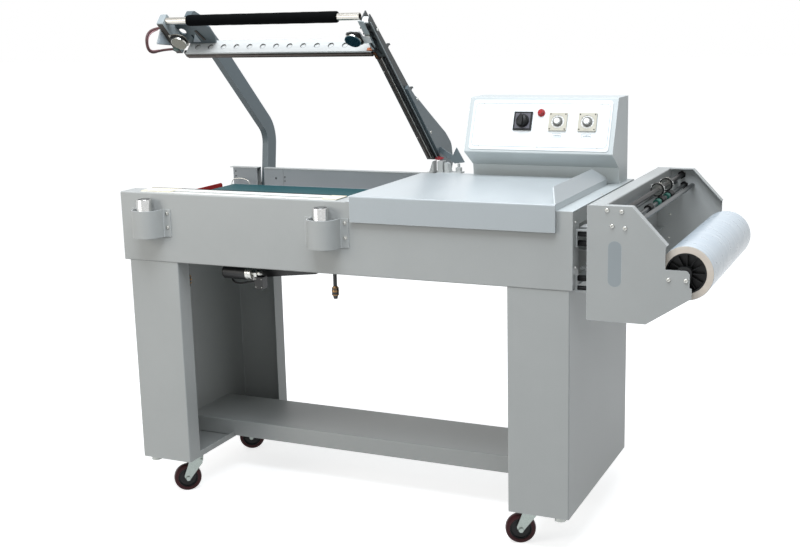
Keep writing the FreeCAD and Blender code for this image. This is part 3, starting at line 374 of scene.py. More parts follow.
tyre_rubber = moulded("maroon_cast_polyurethane", "#2b080c", "#3f0e14", 0.36, 1.2, 0.1, sheen=0.22)
hub_nylon = moulded("black_nylon", "#0c0d0e", "#161719", 0.42, 0.8, 0.1, sheen=0.25)
joints = {joint["name"]: joint for joint in frame["joints"]}
TYRE = [(-9, 27), (-12, 27.5), (-12, 33.5), (-10.6, 36), (-8, 37.4), (-3, 38), (3, 38), (8, 37.4), (10.6, 36),
    (12, 33.5), (12, 27.5), (9, 27)]
HUB = [(-13, 4.2), (-13, 9), (-10.4, 10), (-7.2, 11), (-6.4, 23.5), (-9.4, 25), (-9.4, 27.4), (9.4, 27.4),
    (9.4, 25), (6.4, 23.5), (7.2, 11), (10.4, 10), (13, 9), (13, 4.2)]
for tag in CORNERS:
    axle = joints["roll_" + tag]
    centre = Vector(axle["pos_m"])
    tyre = lathe("tyre_" + tag, centre, axle["axis"], TYRE, tyre_rubber, "wheel_" + tag, 64,
        closed=True)
    lathe("wheel_hub_" + tag, centre, axle["axis"], HUB, hub_nylon, "wheel_" + tag, 48,
        closed=True)
    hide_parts("caster_wheel_" + tag)

# -------------------------------- conveyor
# Black painted rails carry a belt of green PVC on a woven polyester ply, round two steel
# rollers. A red guard strip stands along the left end of the bay, and a wire bail keeps
# packs off the rear corner.


def woven(tree, where, thread, crossing):
    """Warp and weft waves of a thread's width in metres, crossed by a Math operation."""
    links = {"Vector": where, "Scale": 1 / (math.tau * thread)}
    warp = add(tree, "TexWave", links, bands_direction="X").outputs[1]
    weft = add(tree, "TexWave", links, bands_direction="Y").outputs[1]
    return add(tree, "Math", {0: warp, 1: weft}, operation=crossing).outputs[0]


def stretch(tree, where, scale):
    return add(tree, "Mapping", {"Vector": where, "Scale": scale}).outputs[0]


def belt_pvc():
    """Matt green PVC cover with the ply's weave showing through, 1.4 mm a thread, and paler
    tracks along its run where packs slide."""
    matt = {"Roughness": 0.6, "Specular IOR Level": 0.3}
    material, tree, shader, where = start("belt_pvc_on_polyester", **matt)
    weave = woven(tree, where, 0.0014, "MULTIPLY")
    tracks = noise(tree, stretch(tree, where, (2.0, 40.0, 2.0)), 1.0, 4.0)
    green = blend_colours(tree, spread(tree, tracks, -0.2, 1.2), srgb("#0b4046"), srgb("#17585e"))
    green = blend_colours(tree, spread(tree, weave, 0.0, 0.2), green, srgb("#2b6a6f"))
    feed(tree, shader, {"Base Color": green})
    relief(tree, shader, weave, 0.5, 0.0002)
    return material


paint(belt_pvc(), "conveyor_belt")
black_coat = powder_coat("black_powder_coat", "#161718", "#3a3c3e", 0.4)
paint(black_coat, "conveyor_frame", "drive_hanger")
roller_steel = plated_steel("ground_roller_steel", "#b9bab8", 0.3)
paint(roller_steel, "drive_roller", "idler_roller")


def slab(name, foot, side, rise, outline, depth, material, body, rounding=0.0):
    """A plate: its outline in mm, along two directions from foot, pushed to their cross direction."""
    side = Vector(side).normalized()
    rise = Vector(rise).normalized()
    push = side.cross(rise) * depth * MM
    shape = bmesh.new()
    low = [shape.verts.new(foot + side * a * MM + rise * b * MM) for a, b in outline]
    high = [shape.verts.new(vert.co + push) for vert in low]
    shape.faces.new(low)
    shape.faces.new(high)
    for i in range(len(low)):
        j = (i + 1) % len(low)
        shape.faces.new((low[i], low[j], high[j], high[i]))
    if rounding:
        bmesh.ops.bevel(shape, geom=shape.edges[:], offset=rounding * MM, segments=2, affect="EDGES",
            clamp_overlap=True)
    return mesh_piece(name, to_mesh(shape, name), material, body)


def rectangle(a0, a1, b0, b1):
    return [(a0, b0), (a1, b0), (a1, b1), (a0, b1)]


def round_corners(a0, a1, b0, b1, radius):
    """A rectangle whose corners are quarter circles."""
    points = []
    a0, a1, b0, b1 = a0 + radius, a1 - radius, b0 + radius, b1 - radius
    for a, b, first in ((a1, b0, -90), (a1, b1, 0), (a0, b1, 90), (a0, b0, 180)):
        for step in range(7):
            angle = math.radians(first + step * 15)
            points.append((a + radius * math.cos(angle), b + radius * math.sin(angle)))
    return points


def circle(a, b, radius):
    turns = [math.tau * i / 32 for i in range(32)]
    return [(a + radius * math.cos(turn), b + radius * math.sin(turn)) for turn in turns]


def pierced(name, foot, side, rise, loops, thick, material, body, rounding=0.0):
    """A flat plate with holes: closed loops in mm, drawn along two directions and given a thickness."""
    side = Vector(side).normalized()
    rise = Vector(rise).normalized()
    push = side.cross(rise)
    curve = bpy.data.curves.new(name, "CURVE")
    curve.dimensions = "2D"
    curve.fill_mode = "BOTH"
    curve.extrude = (thick / 2 - rounding) * MM
    curve.bevel_depth = rounding * MM
    curve.bevel_resolution = 1
    curve.offset = -rounding * MM
    for loop in loops:
        spline = curve.splines.new("POLY")
        spline.points.add(len(loop) - 1)
        for target, (a, b) in zip(spline.points, loop):
            target.co = (a * MM, b * MM, 0, 1)
        spline.use_cyclic_u = True
    piece = bpy.data.objects.new(name, curve)
    turn = Matrix((side, rise, push)).transposed().to_4x4()
    piece.matrix_world = Matrix.Translation(foot + push * thick / 2 * MM) @ turn
    bpy.context.scene.collection.objects.link(piece)
    return finish_piece(piece, material, body)


def wire(name, points, radius, material, body):
    """A bent wire or tube through given points."""
    curve = bpy.data.curves.new(name, "CURVE")
    curve.dimensions = "3D"
    curve.bevel_depth = radius * MM
    curve.bevel_resolution = 4
    curve.resolution_u = 10
    curve.use_fill_caps = True
    spline = curve.splines.new("NURBS")
    spline.points.add(len(points) - 1)
    for target, point in zip(spline.points, points):
        target.co = (*point, 1)
    spline.order_u = 3
    spline.use_endpoint_u = True
    piece = bpy.data.objects.new(name, curve)
    bpy.context.scene.collection.objects.link(piece)
    return finish_piece(piece, material, body)


red_plastic = moulded("red_pvc_strip", "#b01f1c", "#c8332c", 0.4, 1.5, 0.08)
GUARD = [(0, 0), (398, 0), (398, 34), (392, 38), (4, 38), (0, 34)]
slab("end_guard_strip", at(2.4, 92, 770), TO_REAR, UP, GUARD, 3.2, red_plastic, "frame", 0.6)
bright_wire = plated_steel("drawn_wire_nickel", "#dcdcd6", 0.18)
BAIL = [(16, 525, 798), (17, 525, 806), (24, 525, 816), (48, 526, 819), (72, 525, 815), (79, 525, 806),
    (82, 525, 798)]
wire("corner_bail", [at(*point) for point in BAIL], 1.3, bright_wire, "frame")
dark_rivet = plated_steel("blackened_rivet", "#4a4d4f", 0.4)
wall_rivets = [(at(x, 546, z), FRONT) for x, z in ((20, 837), (20, 822), (192, 824), (192, 812))]
button_screws("wall_rivets", wall_rivets, 2.2, dark_rivet, "frame")

# -------------------------------- belt drive
# A small gear motor below the bay: black can and terminal box, bright clamp coupling and
# a hexagon nut on the shaft's end.

paint(black_coat, "belt_drive")
COUPLING = [(0, 0), (0, 18.2), (1.2, 19.4), (6, 19.4), (6.8, 18.6), (9, 18.6), (9.8, 19.4), (17.4, 19.4),
    (18.8, 18.2), (18.8, 8), (25, 8), (25, 0)]
NUT = [(0, 0), (0, 13.8), (1.2, 14.6), (8.6, 14.6), (9.8, 13.8), (9.8, 0)]
SHAFT_CAP = [(0, 0), (0, 8.8), (3, 9.6), (6.4, 9.6), (8.6, 8.2), (9.4, 5), (9.4, 0)]
MOTOR_CAP = [(0, 0), (0, 18.4), (1.6, 18.4), (3.6, 16), (3.6, 0)]
for label, x, z, profile, sides in (
    ("coupling", 311.6, 624, COUPLING, 40),
    ("end_nut", 335.4, 624, NUT, 6),
    ("end_cap", 345.4, 625, SHAFT_CAP, 28),
):
    lathe("drive_" + label, at(x, 118, z), ALONG, profile, zinc, "frame", sides)
lathe("motor_end_cap", at(243.6, 118, 624), (-1, 0, 0), MOTOR_CAP, hub_nylon, "frame", 36)
lead_path = [at(262, 118, 606), at(268, 112, 598), at(290, 110, 594), at(318, 112, 600), at(340, 118, 604)]
wire("motor_lead", lead_path, 2.4, hub_nylon, "frame")
terminal_screws = [(at(x, 105.9, z), FRONT) for x in (343, 360) for z in (589, 611)]
button_screws("terminal_screws", terminal_screws, 1.7, zinc, "frame")

# -------------------------------- hanging buffer rods
# Two black rods hang from brackets behind the front panel. Each ends in a brass union
# with a turned collar and a dark nose.

paint(black_coat, "buffer_rods")
brass = plated_steel("worn_brass", "#9a7a55", 0.3)
UNION = [(0, 0), (0, 8.2), (1.2, 9.4), (3, 9.4), (3.6, 8.6), (9, 8.6), (9.6, 9.6), (13, 9.6), (14, 9.0),
    (20.5, 9.0), (21, 7.0), (24, 6.2), (24, 0)]
for count, x in enumerate((131.0, 586.0)):
    lathe("buffer_union_%d" % count, at(x, 100, 586), UP, UNION, brass, "frame", 32)

# -------------------------------- lower seal jaws
# Steel bars along two sides of the bay with a strip of white PTFE cloth over a silicone
# pad; cream glass tape holds the cloth down at its ends.

jaw_steel = plated_steel("brushed_jaw_steel", "#8d9192", 0.34)
paint(jaw_steel, "lower_jaw_bars")


def ptfe_cloth():
    """Glass cloth coated with PTFE: off-white, waxy, a weave 0.9 mm wide, with pale brown stains."""
    material, tree, shader, where = start("ptfe_glass_cloth", Roughness=0.48)
    weave = woven(tree, where, 0.0009, "ADD")
    stain = spread(tree, noise(tree, where, 0.03, 4.0), -0.3, 1.0)
    feed(tree, shader, {"Base Color": blend_colours(tree, stain, srgb("#f1f2ef"), srgb("#dedcd2"))})
    relief(tree, shader, weave, 0.3, 0.0001)
    return material


seal_cloth = ptfe_cloth()
paint(seal_cloth, "seal_pads")
glass_tape = moulded("cream_glass_tape", "#efe5cc", "#f5eedd", 0.45, 1.0, 0.06)
for count, (x0, x1) in enumerate(((58.5, 150), (603, 645.5))):
    slab("end_tape_%d" % count, at(x0, 12, 851.6), ALONG, TO_REAR, rectangle(0, x1 - x0, 0, 56), 1.7,
        glass_tape, "frame", 0.3)
# Painted light: a white cloth sheet on the top of the front flange, which light from above makes bright.
slab("flange_top_painted_light", at(60, 3, 850.15), ALONG, TO_REAR, rectangle(0, 584, 0, 26.5), 0.9, seal_cloth,
    "frame", 0.2)
slab("jaw_rear_rule", at(53, 69.8, 846), ALONG, TO_REAR, rectangle(0, 590, 0, 2.4), 7.6, hub_nylon, "frame",
    0.4)

# -------------------------------- electromagnets
# Turned steel pots, nickel plated and polished, with a resin-filled groove round the pole.
# Each stands in a strap of 2 mm sheet, bowed round it and powder coated with the table box.


def band(path, thick):
    """The outline of a bent strip: both sides of a centre line, in mm."""
    near, far = [], []
    for i, (a, b) in enumerate(path):
        before = Vector(path[max(i - 1, 0)])
        after = Vector(path[min(i + 1, len(path) - 1)])
        along = (after - before).normalized()
        near.append((a - along.y * thick / 2, b + along.x * thick / 2))
        far.append((a + along.y * thick / 2, b - along.x * thick / 2))
    return near + far[::-1]


polished_nickel = plated_steel("polished_nickel_plate", "#dfe0df", 0.1)
dark_resin = moulded("dark_potting_resin", "#2c2e30", "#3d4043", 0.3, 1.5, 0.05)
POT = [(0, 0), (0, 20.2), (0.5, 20.7), (97.0, 20.7), (98.8, 19.6), (98.8, 16.2), (98.8, 0)]
GROOVE = [(0, 8.6), (0.5, 8.6), (0.5, 16.2), (0, 16.2)]
FOLD = [(-58, -1), (-42, -1), (-38.4, -2.6), (-37.2, -6.4), (-37, -20), (-34.6, -33), (-28, -44),
    (-17, -51.6), (-4, -54.6), (9, -54.6), (22, -51.6), (32, -44), (38.2, -33), (40.6, -20), (40.8, -6.4),
    (42, -2.6), (45.6, -1), (64, -1)]
for count, x in enumerate(MAGNETS_AT):
    foot = at(x, -24, 737.2)
    pot = lathe("magnet_pot_%d" % count, foot, UP, POT, polished_nickel, "frame", 64)
    lathe("magnet_groove_%d" % count, at(x, -24, 835.8), UP, GROOVE, dark_resin, "frame", 48,
        closed=True)
    strap = slab("magnet_strap_%d" % count, at(x, 0, 735), ALONG, TO_REAR, band(FOLD, 2.0), 73.0, grey_coat,
        "frame", 0.5)
    inner = [(a * 0.965, b * 0.975 + 0.4) for a, b in FOLD[3:-3]]
    slab("strap_floor_%d" % count, at(x, 0, 735.2), ALONG, TO_REAR, inner, 2.0, grey_coat, "frame",
        0.3)
    if count == 0:
        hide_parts("electromagnets")
        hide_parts("magnet_covers")

# -------------------------------- upper jaw frame
# The swinging L: gooseneck arm and cheek in the table's grey coat, darkened to slate as painted shade, a bent
# channel as the side bar, and a bright perforated cover along the front bar.

# Painted shade: the arms share the table's grey coat; this darker slate copy paints the shade on their
# undersides.
shaded_arm_paint = powder_coat("slate_arm_painted_shade", "#5b676c", "#808c91", 0.42)
paint(shaded_arm_paint, "left_arm", "right_arm")
bar_coat = powder_coat("dark_bar_coat", "#353939", "#5f6465", 0.48)
paint(bar_coat, "side_jaw_bar", "front_jaw_bar")
paint(powder_coat("handle_bracket_powder_coat", "#a2abae", "#ccd3d5", 0.38), "handle_bracket")
paint(zinc, "jaw_shaft")


def rolled_white():
    """Aluminium coil painted white: satin, with faint rolling lines 2 mm apart along its length."""
    material, tree, shader, where = start("white_coil_coat")
    lines = noise(tree, stretch(tree, where, (8.0, 500.0, 500.0)), 1.0, 3.0)
    body = blend_colours(tree, spread(tree, lines, -0.2, 1.0), srgb("#c3c5c4"), srgb("#dcdddb"))
    body = blend_colours(tree, worn_edges(tree, 0.0008), body, srgb("#b9bcbc"))
    feed(tree, shader, {"Base Color": body, "Roughness": spread(tree, lines, 0.26, 0.42)})
    return material


hinge = joints["jaw_hinge"]
HINGE = Vector(hinge["pos_m"])
OPEN = math.radians(hinge["range_deg"][1])


def opened(x, y, z):
    """A place given in the closed jaw, as at(), turned with the jaw to its open rest."""
    return HINGE + Matrix.Rotation(-OPEN, 3, "X") @ (at(x, y, z) - HINGE)


def opened_way(x, y, z):
    return Matrix.Rotation(-OPEN, 3, "X") @ Vector((x, y, z))


RIGHT = opened_way(1, 0, 0)
REARWARD = opened_way(0, 1, 0)
UPWARD = opened_way(0, 0, 1)
cover_coat = rolled_white()
VENT_PITCH = 41.6
VENT_COUNT = 12
vents = [circle(31 + VENT_PITCH * i, 24.5, 8.5) for i in range(VENT_COUNT)]
cover_edge = [(2, 0), (571, 0), (573, 2), (573, 47.4), (55.4, 47.4), (55.4, 41.4), (34.6, 41.4), (34.6, 47.4),
    (0, 47.4), (0, 2)]
cover = pierced("front_cover", opened(62, 39.7, 855.5), RIGHT, UPWARD, [cover_edge] + vents, 2.1, cover_coat,
    "jaw", 0.3)
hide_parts("front_cover_plate")

# Each hole has a shaded rim, and a strip behind the cover closes the row.
vent_sleeves = bmesh.new()
for i in range(VENT_COUNT):
    turned(vent_sleeves, opened(93 + VENT_PITCH * i, 37.6, 880), REARWARD,
        [(0.1, 8.4), (0.1, 8.0), (3.4, 8.0), (3.4, 8.4)], 32, closed=True)
sleeve_grey = powder_coat("shaded_sleeve_coat", "#5d5d5a", "#8b8c89", 0.5)
mesh_piece("vent_sleeves", to_mesh(vent_sleeves, "vent_sleeves"), sleeve_grey, "jaw")
slab("cover_backing", opened(80, 41.0, 867), RIGHT, UPWARD, rectangle(0, 488, 0, 26), -0.9, cover_coat, "jaw",
    0.3)
slab("cover_lip", opened(62, 34.8, 855.6), RIGHT, REARWARD, rectangle(0, 572, 0, 3.2), 1.6, cover_coat, "jaw",
    0.4)
paint(plated_steel("satin_chrome", "#cbc8c1", 0.27), "handle_tube")

# -------------------------------- heated knives
# Sealing blades in brown PTFE-coated carriers, one under the front bar and one under the
# side bar. A pale clamping strip and a black silicone-covered loom run beside the second.


def ptfe_brown():
    """PTFE cloth browned by heat: satin, with darker scorched patches 20 mm long."""
    material, tree, shader, where = start("browned_ptfe_cloth")
    scorch = noise(tree, where, 0.02, 5.0)
    body = blend_colours(tree, spread(tree, scorch, -0.2, 1.1), srgb("#40322a"), srgb("#241d19"))
    feed(tree, shader, {"Base Color": body, "Roughness": spread(tree, scorch, 0.3, 0.5)})
    relief(tree, shader, noise(tree, where, 0.0012, 1.0), 0.4, 0.0002)
    return material


knife_cloth = ptfe_brown()
BLADE = [(0, 5.2), (0, 0), (5.5, 0), (7, -3), (9, -3), (10.5, 0), (16, 0), (16, 5.2)]
front_knife = slab("front_knife", opened(62, 41, 856.5), REARWARD, UPWARD, BLADE, 572, knife_cloth, "jaw",
    0.3)
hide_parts("jaw_knives")
SIDE_BLADE = [(9, 7.0), (9, 3.4), (6.2, 0), (2.8, 0), (0, 3.4), (0, 7.0)]
slab("side_knife", opened(645, 62, 850.6), RIGHT, UPWARD, SIDE_BLADE, -430, knife_cloth, "jaw",
    0.3)
clamp_white = moulded("glass_filled_nylon_strip", "#d6d3cc", "#e3e1db", 0.5, 1.2, 0.05)
slab("knife_clamp_strip", opened(655.4, 62, 853.4), RIGHT, UPWARD, rectangle(0, 1.6, 0, 4.3), -432,
    clamp_white, "jaw", 0.3)
silicone_black = moulded("black_silicone_sleeve", "#08090a", "#121315", 0.4, 2.0, 0.2, sheen=0.3)
slab("loom_backing", opened(658.6, 62, 853.2), RIGHT, UPWARD, rectangle(0, 8.4, 0, 4.4), -436, silicone_black,
    "jaw", 0.5)
for count, (x, phase) in enumerate(((660.8, 0.0), (665.0, 1.7))):
    bumpy = []
    for i in range(24):
        sway = 0.9 * math.sin(i * 1.9 + phase)
        lift = 0.7 * math.sin(i * 2.7 + phase)
        bumpy.append(opened(x + sway, 60 + 18.4 * i, 853.4 + lift))
    wire("side_loom_%d" % count, bumpy, 2.1, silicone_black, "jaw")

# -------------------------------- fittings on the side bar
# A nylon end block, a light strip with black insulators, leads and copper lugs where the two
# knives meet, bright screws and a red fibre insulator at the hinge end.

block_nylon = moulded("white_nylon", "#eeeeea", "#f7f7f4", 0.4, 1.2, 0.05)
slab("side_bar_end_block", opened(641.6, -64, 863), RIGHT, REARWARD, rectangle(0, 24.8, 0, 16), 21,
    block_nylon, "jaw", 0.8)
bracket_coat = powder_coat("bracket_powder_coat", "#a3adb0", "#cdd4d5", 0.4)
BAR_UNDERSIDE = 857.9
slab("bar_light_strip", opened(638.4, -78, BAR_UNDERSIDE), REARWARD, RIGHT,
    [(0, 1), (108, 1), (108, 12), (84, 17), (2, 17)], 2.0, bracket_coat, "jaw", 0.4)
for count, y in enumerate((-62.0, -38.0, -14.0)):
    slab("bar_insulator_%d" % count, opened(656.2, y, BAR_UNDERSIDE), REARWARD, RIGHT,
        [(0, 1), (17, 0), (18, 8), (9, 9.4), (1, 8)], 4.2, silicone_black, "jaw", 0.9)
knob_bolts = [(opened(638.4, y, 856.4), -RIGHT) for y in (-52, -30, -8)]
button_screws("bar_strip_knobs", knob_bolts, 2.2, dark_rivet, "jaw")
# A pale line along the lower outer corner of the side bar.
wire("bar_corner_pale_line", [opened(672.8, y, 858.1) for y in (-70, 120, 310, 504)], 0.9, bracket_coat, "jaw")
CORNER_LEADS = (
    [(648, -2, 856), (643, 12, 855.4), (652, 26, 855.6), (646, 38, 856)],
    [(656, 2, 856), (661, 16, 855.4), (654, 34, 855.6), (661, 48, 856)],
    [(640, -6, 856), (650, 8, 855.5), (648, 22, 855.5), (656, 38, 856)],
)
for count, path in enumerate(CORNER_LEADS):
    wire("corner_lead_%d" % count, [opened(*point) for point in path], 1.7, silicone_black, "jaw")
copper = plated_steel("worn_copper", "#a4684a", 0.32)
LUG = [(0, 0), (16, 0), (19, 4), (19, 9), (16, 13), (0, 9)]
FLAT_LUG = [(0, 0), (22, 0), (24, 2), (24, 8), (0, 8)]
slab("knife_lug_0", opened(622, 33.6, 857), RIGHT, UPWARD, LUG, -1.8, copper, "jaw", 0.4)
slab("knife_lug_1", opened(638.4, 42, 856.2), REARWARD, RIGHT, FLAT_LUG, 1.6, copper, "jaw",
    0.4)
lug_screws = [(opened(633, 33.4, 864), -REARWARD), (opened(643, 56, 856.2), -UPWARD)]
button_screws("lug_screws", lug_screws, 2.9, copper, "jaw")
bar_screws = [(opened(*point), RIGHT) for point in ((672.2, -28, 871), (679, 268, 886), (679, 401, 875))]
button_screws("side_bar_screws", bar_screws, 4.4, zinc, "jaw")
button_screws("side_strip_screws", [(opened(641.5, y, 858), -UPWARD) for y in (120, 405)], 2.4, zinc, "jaw")
red_fibre = moulded("red_vulcanised_fibre", "#8e1c26", "#a3303a", 0.45, 1.4, 0.08)
INSULATOR = [(0, 3), (3, 0), (12, -1.5), (26, 2), (27, 5.5), (14, 8.5), (2, 9)]
slab("hinge_insulator", at(664, 598.6, 884), ALONG, UP, INSULATOR, 9, red_fibre, "jaw", 0.6)

# -------------------------------- holding discs
# At each end of the jaw hangs the disc that its magnet pulls down: a ground steel face on
# a black rubber cushion, which lets it settle flat, under an arm on spacers.

rubber_black = moulded("black_nitrile_rubber", "#0a0b0c", "#131415", 0.5, 1.5, 0.1, sheen=0.25)
DISC = [(0, 0), (0, 20.4), (0.8, 21.3), (5.2, 21.3), (6, 20.5), (6, 0)]
BLOCK = [(-18, -12), (-12, -19), (0, -22), (21, -20), (23, -17), (23, 16), (18, 20), (-8, 20), (-18, 10)]
ARMS = (
    (81.0, "ground_disc_steel", "#6f6e66", -1,
     [(-29, -22), (-2, -25), (17, -19), (22, -6), (22, 10), (14, 22), (-10, 24), (-29, 21)]),
    (611.0, "blued_disc_steel", "#4c6672", 1,
     [(-20, -14), (-13, -21), (0, -24), (23, -22), (25, -16), (25, -4), (44, -2), (44, 20), (17, 23),
      (-10, 22), (-20, 10)]),
)
# The right arm plate is painted white: a painted reflection of the white surroundings in its polished face.
arm_plates = (
    plated_steel("dull_zinc_arm", "#97958e", 0.42),
    powder_coat("white_arm_painted_reflection", "#e2e4e4", "#f0f1f1", 0.4),
)
SPACER = [(0, 0), (0, 4.4), (5.6, 4.4), (5.6, 0)]
for count, (x, finish, colour, turn, plate) in enumerate(ARMS):
    foot = opened(x, -23, 836.6)
    disc = lathe("holding_disc_%d" % count, foot, UPWARD, DISC, plated_steel(finish, colour, 0.24), "jaw",
        56)
    lathe("disc_edge_%d" % count, foot, UPWARD, [(1.0, 21.2), (1.0, 22.0), (5.0, 22.0), (5.0, 21.2)],
        bright_wire, "jaw", 56, closed=True)
    cushion = [(a * turn, b) for a, b in BLOCK]
    slab("disc_cushion_%d" % count, foot + UPWARD * 6 * MM, RIGHT, REARWARD, cushion, 7.0, rubber_black,
        "jaw", 1.0)
    slab("disc_arm_%d" % count, foot + UPWARD * 13 * MM, RIGHT, REARWARD, plate, 2.6, arm_plates[count],
        "jaw", 0.5)
    for spacer in ((-24, -14) if count == 0 else (36, 42)):
        under = foot + (RIGHT * spacer + UPWARD * 15.6) * MM
        label = "disc_spacer_%d_%d" % (count, abs(spacer))
        lathe(label, under, UPWARD, SPACER, zinc, "jaw", 20)
    if count == 0:
        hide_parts("armatures")

# -------------------------------- left end fittings
# A dark brown sheet under the short bar is painted shade, and a pale sheet on the gusset below is painted
# light.
# On the foot plate of the arm a dark brown strip paints the shaded slot and a small pale triangle paints
# light;
# a closing plate covers the plate's own slot.

dark_painted_shade = moulded("brown_sheet_painted_shade", "#332f2c", "#454039", 0.6, 1.4, 0.08)
# Painted shade: a thin dark brown sheet under the short bar, where its underside is in shade.
slab("short_bar_painted_shade", opened(33, -80, BAR_UNDERSIDE), REARWARD, RIGHT, rectangle(0, 116, 0, 18), 0.9,
    dark_painted_shade, "jaw", 0.3)
pale_painted_light = powder_coat("pale_sheet_painted_light", "#c3cdd5", "#e3e9ed", 0.4)
# Painted light: a thin pale sheet on the lit side face of the gusset.
slab("gusset_painted_light", opened(32.2, 0, 0), REARWARD, UPWARD, [(-56.5, 865), (-45, 821), (8, 862.4), (8, 865)],
    0.6, pale_painted_light, "jaw", 0.2)
slab("slot_closing_plate", opened(76, -4, 897.1), RIGHT, REARWARD, rectangle(0, 28, 0, 42), 1.6, shaded_arm_paint,
    "jaw", 0.3)
# Painted shade: a dark strip where the slot in the foot plate shows dark.
slab("foot_slot_painted_shade", opened(0, 0, 892.9), REARWARD, RIGHT, [(-14, 104), (-16, 111), (22, 123), (24, 115)], 2.2,
    dark_painted_shade, "jaw", 0.5)
# Painted light: a small pale triangle on a lit face of the foot plate.
slab("foot_plate_painted_light", opened(0, 0, 892.9), REARWARD, RIGHT, [(-3, 100), (30, 102), (30, 78)], 1.4, pale_painted_light,
    "jaw", 0.3)

# -------------------------------- foam grip
# A sleeve of black nitrile foam pulled over the tube: closed cells under a dull skin,
# rounded ends, and a slight unevenness along its length.


def nitrile_foam():
    """Closed-cell foam: near black, dull, with cells 0.7 mm wide drawn at 1.4 mm so that they show."""
    material, tree, shader, where = start("nitrile_foam", **{"Roughness": 0.95, "Specular IOR Level": 0.06})
    cells = add(tree, "TexVoronoi", {"Vector": where, "Scale": 1 / 0.0014}).outputs["Distance"]
    cloud = noise(tree, where, 0.03, 3.0)
    feed(tree, shader, {"Base Color": blend_colours(tree, cloud, srgb("#040405"), srgb("#0b0c0d"))})
    relief(tree, shader, cells, 0.55, 0.0004)
    return material


grip_low, grip_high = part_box("foam_grip")
grip_long = (grip_high[0] - grip_low[0]) / MM
grip_foot = Vector((grip_low[0], (grip_low[1] + grip_high[1]) / 2, (grip_low[2] + grip_high[2]) / 2))
rings = [(0, 10), (0, 12.2), (1.2, 13.8), (3.4, 14.7)]
steps = 46
for i in range(1, steps):
    along = 3.4 + (grip_long - 6.8) * i / steps
    rings.append((along, 14.75 + 0.16 * math.sin(i * 0.9) + 0.08 * math.sin(i * 2.3)))
rings += [(grip_long - 3.4, 14.7), (grip_long - 1.2, 13.8), (grip_long, 12.2), (grip_long, 10)]
grip = lathe("foam_sleeve", grip_foot, ALONG, rings, nitrile_foam(), "jaw", 48, closed=True)
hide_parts("foam_grip")

# -------------------------------- supply cable
# A brown silicone-sleeved lead leaves the short bar, makes one loop beside it and goes
# back in through a gland below.

CABLE_POINTS = [(45, -40, 884), (-10, -40, 884), (-10, -58, 838), (-10, -16, 808), (-10, 30, 867),
    (45, 30, 867)]


def silicone_sleeve():
    """Extruded silicone rubber over braid: dull brown with a slight pink bloom."""
    material, tree, shader, where = start("brown_silicone_sleeve", Roughness=0.5)
    bloom = spread(tree, noise(tree, where, 0.012, 4.0), -0.4, 1.1)
    braid = add(tree, "TexVoronoi", {"Vector": where, "Scale": 1 / 0.0016}).outputs["Distance"]
    feed(tree, shader, {"Base Color": blend_colours(tree, bloom, srgb("#3a2323"), srgb("#7a4c4e"))})
    relief(tree, shader, braid, 0.4, 0.0003)
    return material


lead = wire("supply_lead", [opened(*point) for point in CABLE_POINTS], 3.5, silicone_sleeve(), "jaw")
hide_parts("jaw_cable")


def route_points(cord):
    """The points of a cord's own smooth line, in order."""
    bare = cord.copy()
    bare.data = cord.data.copy()
    bare.data.bevel_depth = 0
    line = bpy.data.meshes.new_from_object(bare)
    return [vert.co.copy() for vert in line.vertices]


run = route_points(lead)[6:-8]
pink_sleeve = moulded("pink_silicone_lead", "#a57478", "#c9a0a2", 0.5, 1.6, 0.15)
LOOP_MIDDLE = opened(-10, -12, 846)
twist = []
for i, point in enumerate(run):
    inward = (LOOP_MIDDLE - point).normalized() * (3.6 + 0.8 * math.sin(i * 0.3))
    twist.append(point + (inward + RIGHT * (1.0 + 1.6 * math.sin(i * 0.16))) * MM)
partner = wire("pink_lead", twist[::3], 1.9, pink_sleeve, "jaw")
green_gland = moulded("green_nylon_gland", "#1f3a33", "#2d4f47", 0.4, 1.0, 0.1)
GLAND = [(0, 4), (0, 8), (3, 8), (3, 6.6), (7, 6.2), (11, 4.6), (11, 3.7)]
HANGING_GLAND = [(0, 0), (0, 6.6), (1.6, 6.6), (2, 8.4), (4.8, 8.4), (5.6, 7), (6, 4), (6, 0)]
lathe("lead_gland", opened(32, 30, 867), -RIGHT, GLAND, green_gland, "jaw", 24)
lathe("hanging_gland", opened(45, 15, 857), -UPWARD, HANGING_GLAND, green_gland, "jaw", 10)

# -------------------------------- hinge springs
# Two torsion springs of 4 mm oil-tempered wire round the shaft, their straight ends bearing
# on the rear panel.


def coiled(foot, way, radius, length, turns):
    """Points of a helix in mm about an axis."""
    way, side, across = turning(way)
    points = []
    for i in range(turns * 14 + 1):
        angle = math.tau * i / 14
        centre = foot + way * length * MM * i / (turns * 14)
        points.append(centre + (side * math.cos(angle) + across * math.sin(angle)) * radius * MM)
    return points


spring_steel = plated_steel("oil_tempered_wire", "#3d3f41", 0.34)
for count, x0 in enumerate((134.0, 570.0)):
    straight = [at(x0 + 3, 572.6, 699), at(x0 + 3, 572.6, 730)]
    path = straight + coiled(at(x0 + 3, 585, 756), ALONG, 12.4, 54, 13)
    coil = wire("torsion_spring_%d" % count, path, 1.95, spring_steel, "frame")
    if count == 0:
        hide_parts("return_springs")

# -------------------------------- control panel
# A white printed film on the sloping face: a thin grey line runs round it, with rivets,
# a rotary switch, a red lamp and two beige timers.

deep_black = moulded("black_polyamide", "#08090a", "#121314", 0.4, 0.9, 0.06, sheen=0.3)
paint(deep_black, "cam_switch", "switch_knob")
SLOPE = (0, 0.3816, 0.9243)
OUTWARD = Vector((0, -SLOPE[2], SLOPE[1]))
FILM_THICK = 1.8


def on_face(across, up, out=0.0):
    """A place in mm on the sloping panel: across the machine, up the slope and out of the face."""
    out += FILM_THICK
    return at(across, 396 + SLOPE[1] * up - SLOPE[2] * out, 932.5 + SLOPE[2] * up + SLOPE[1] * out)


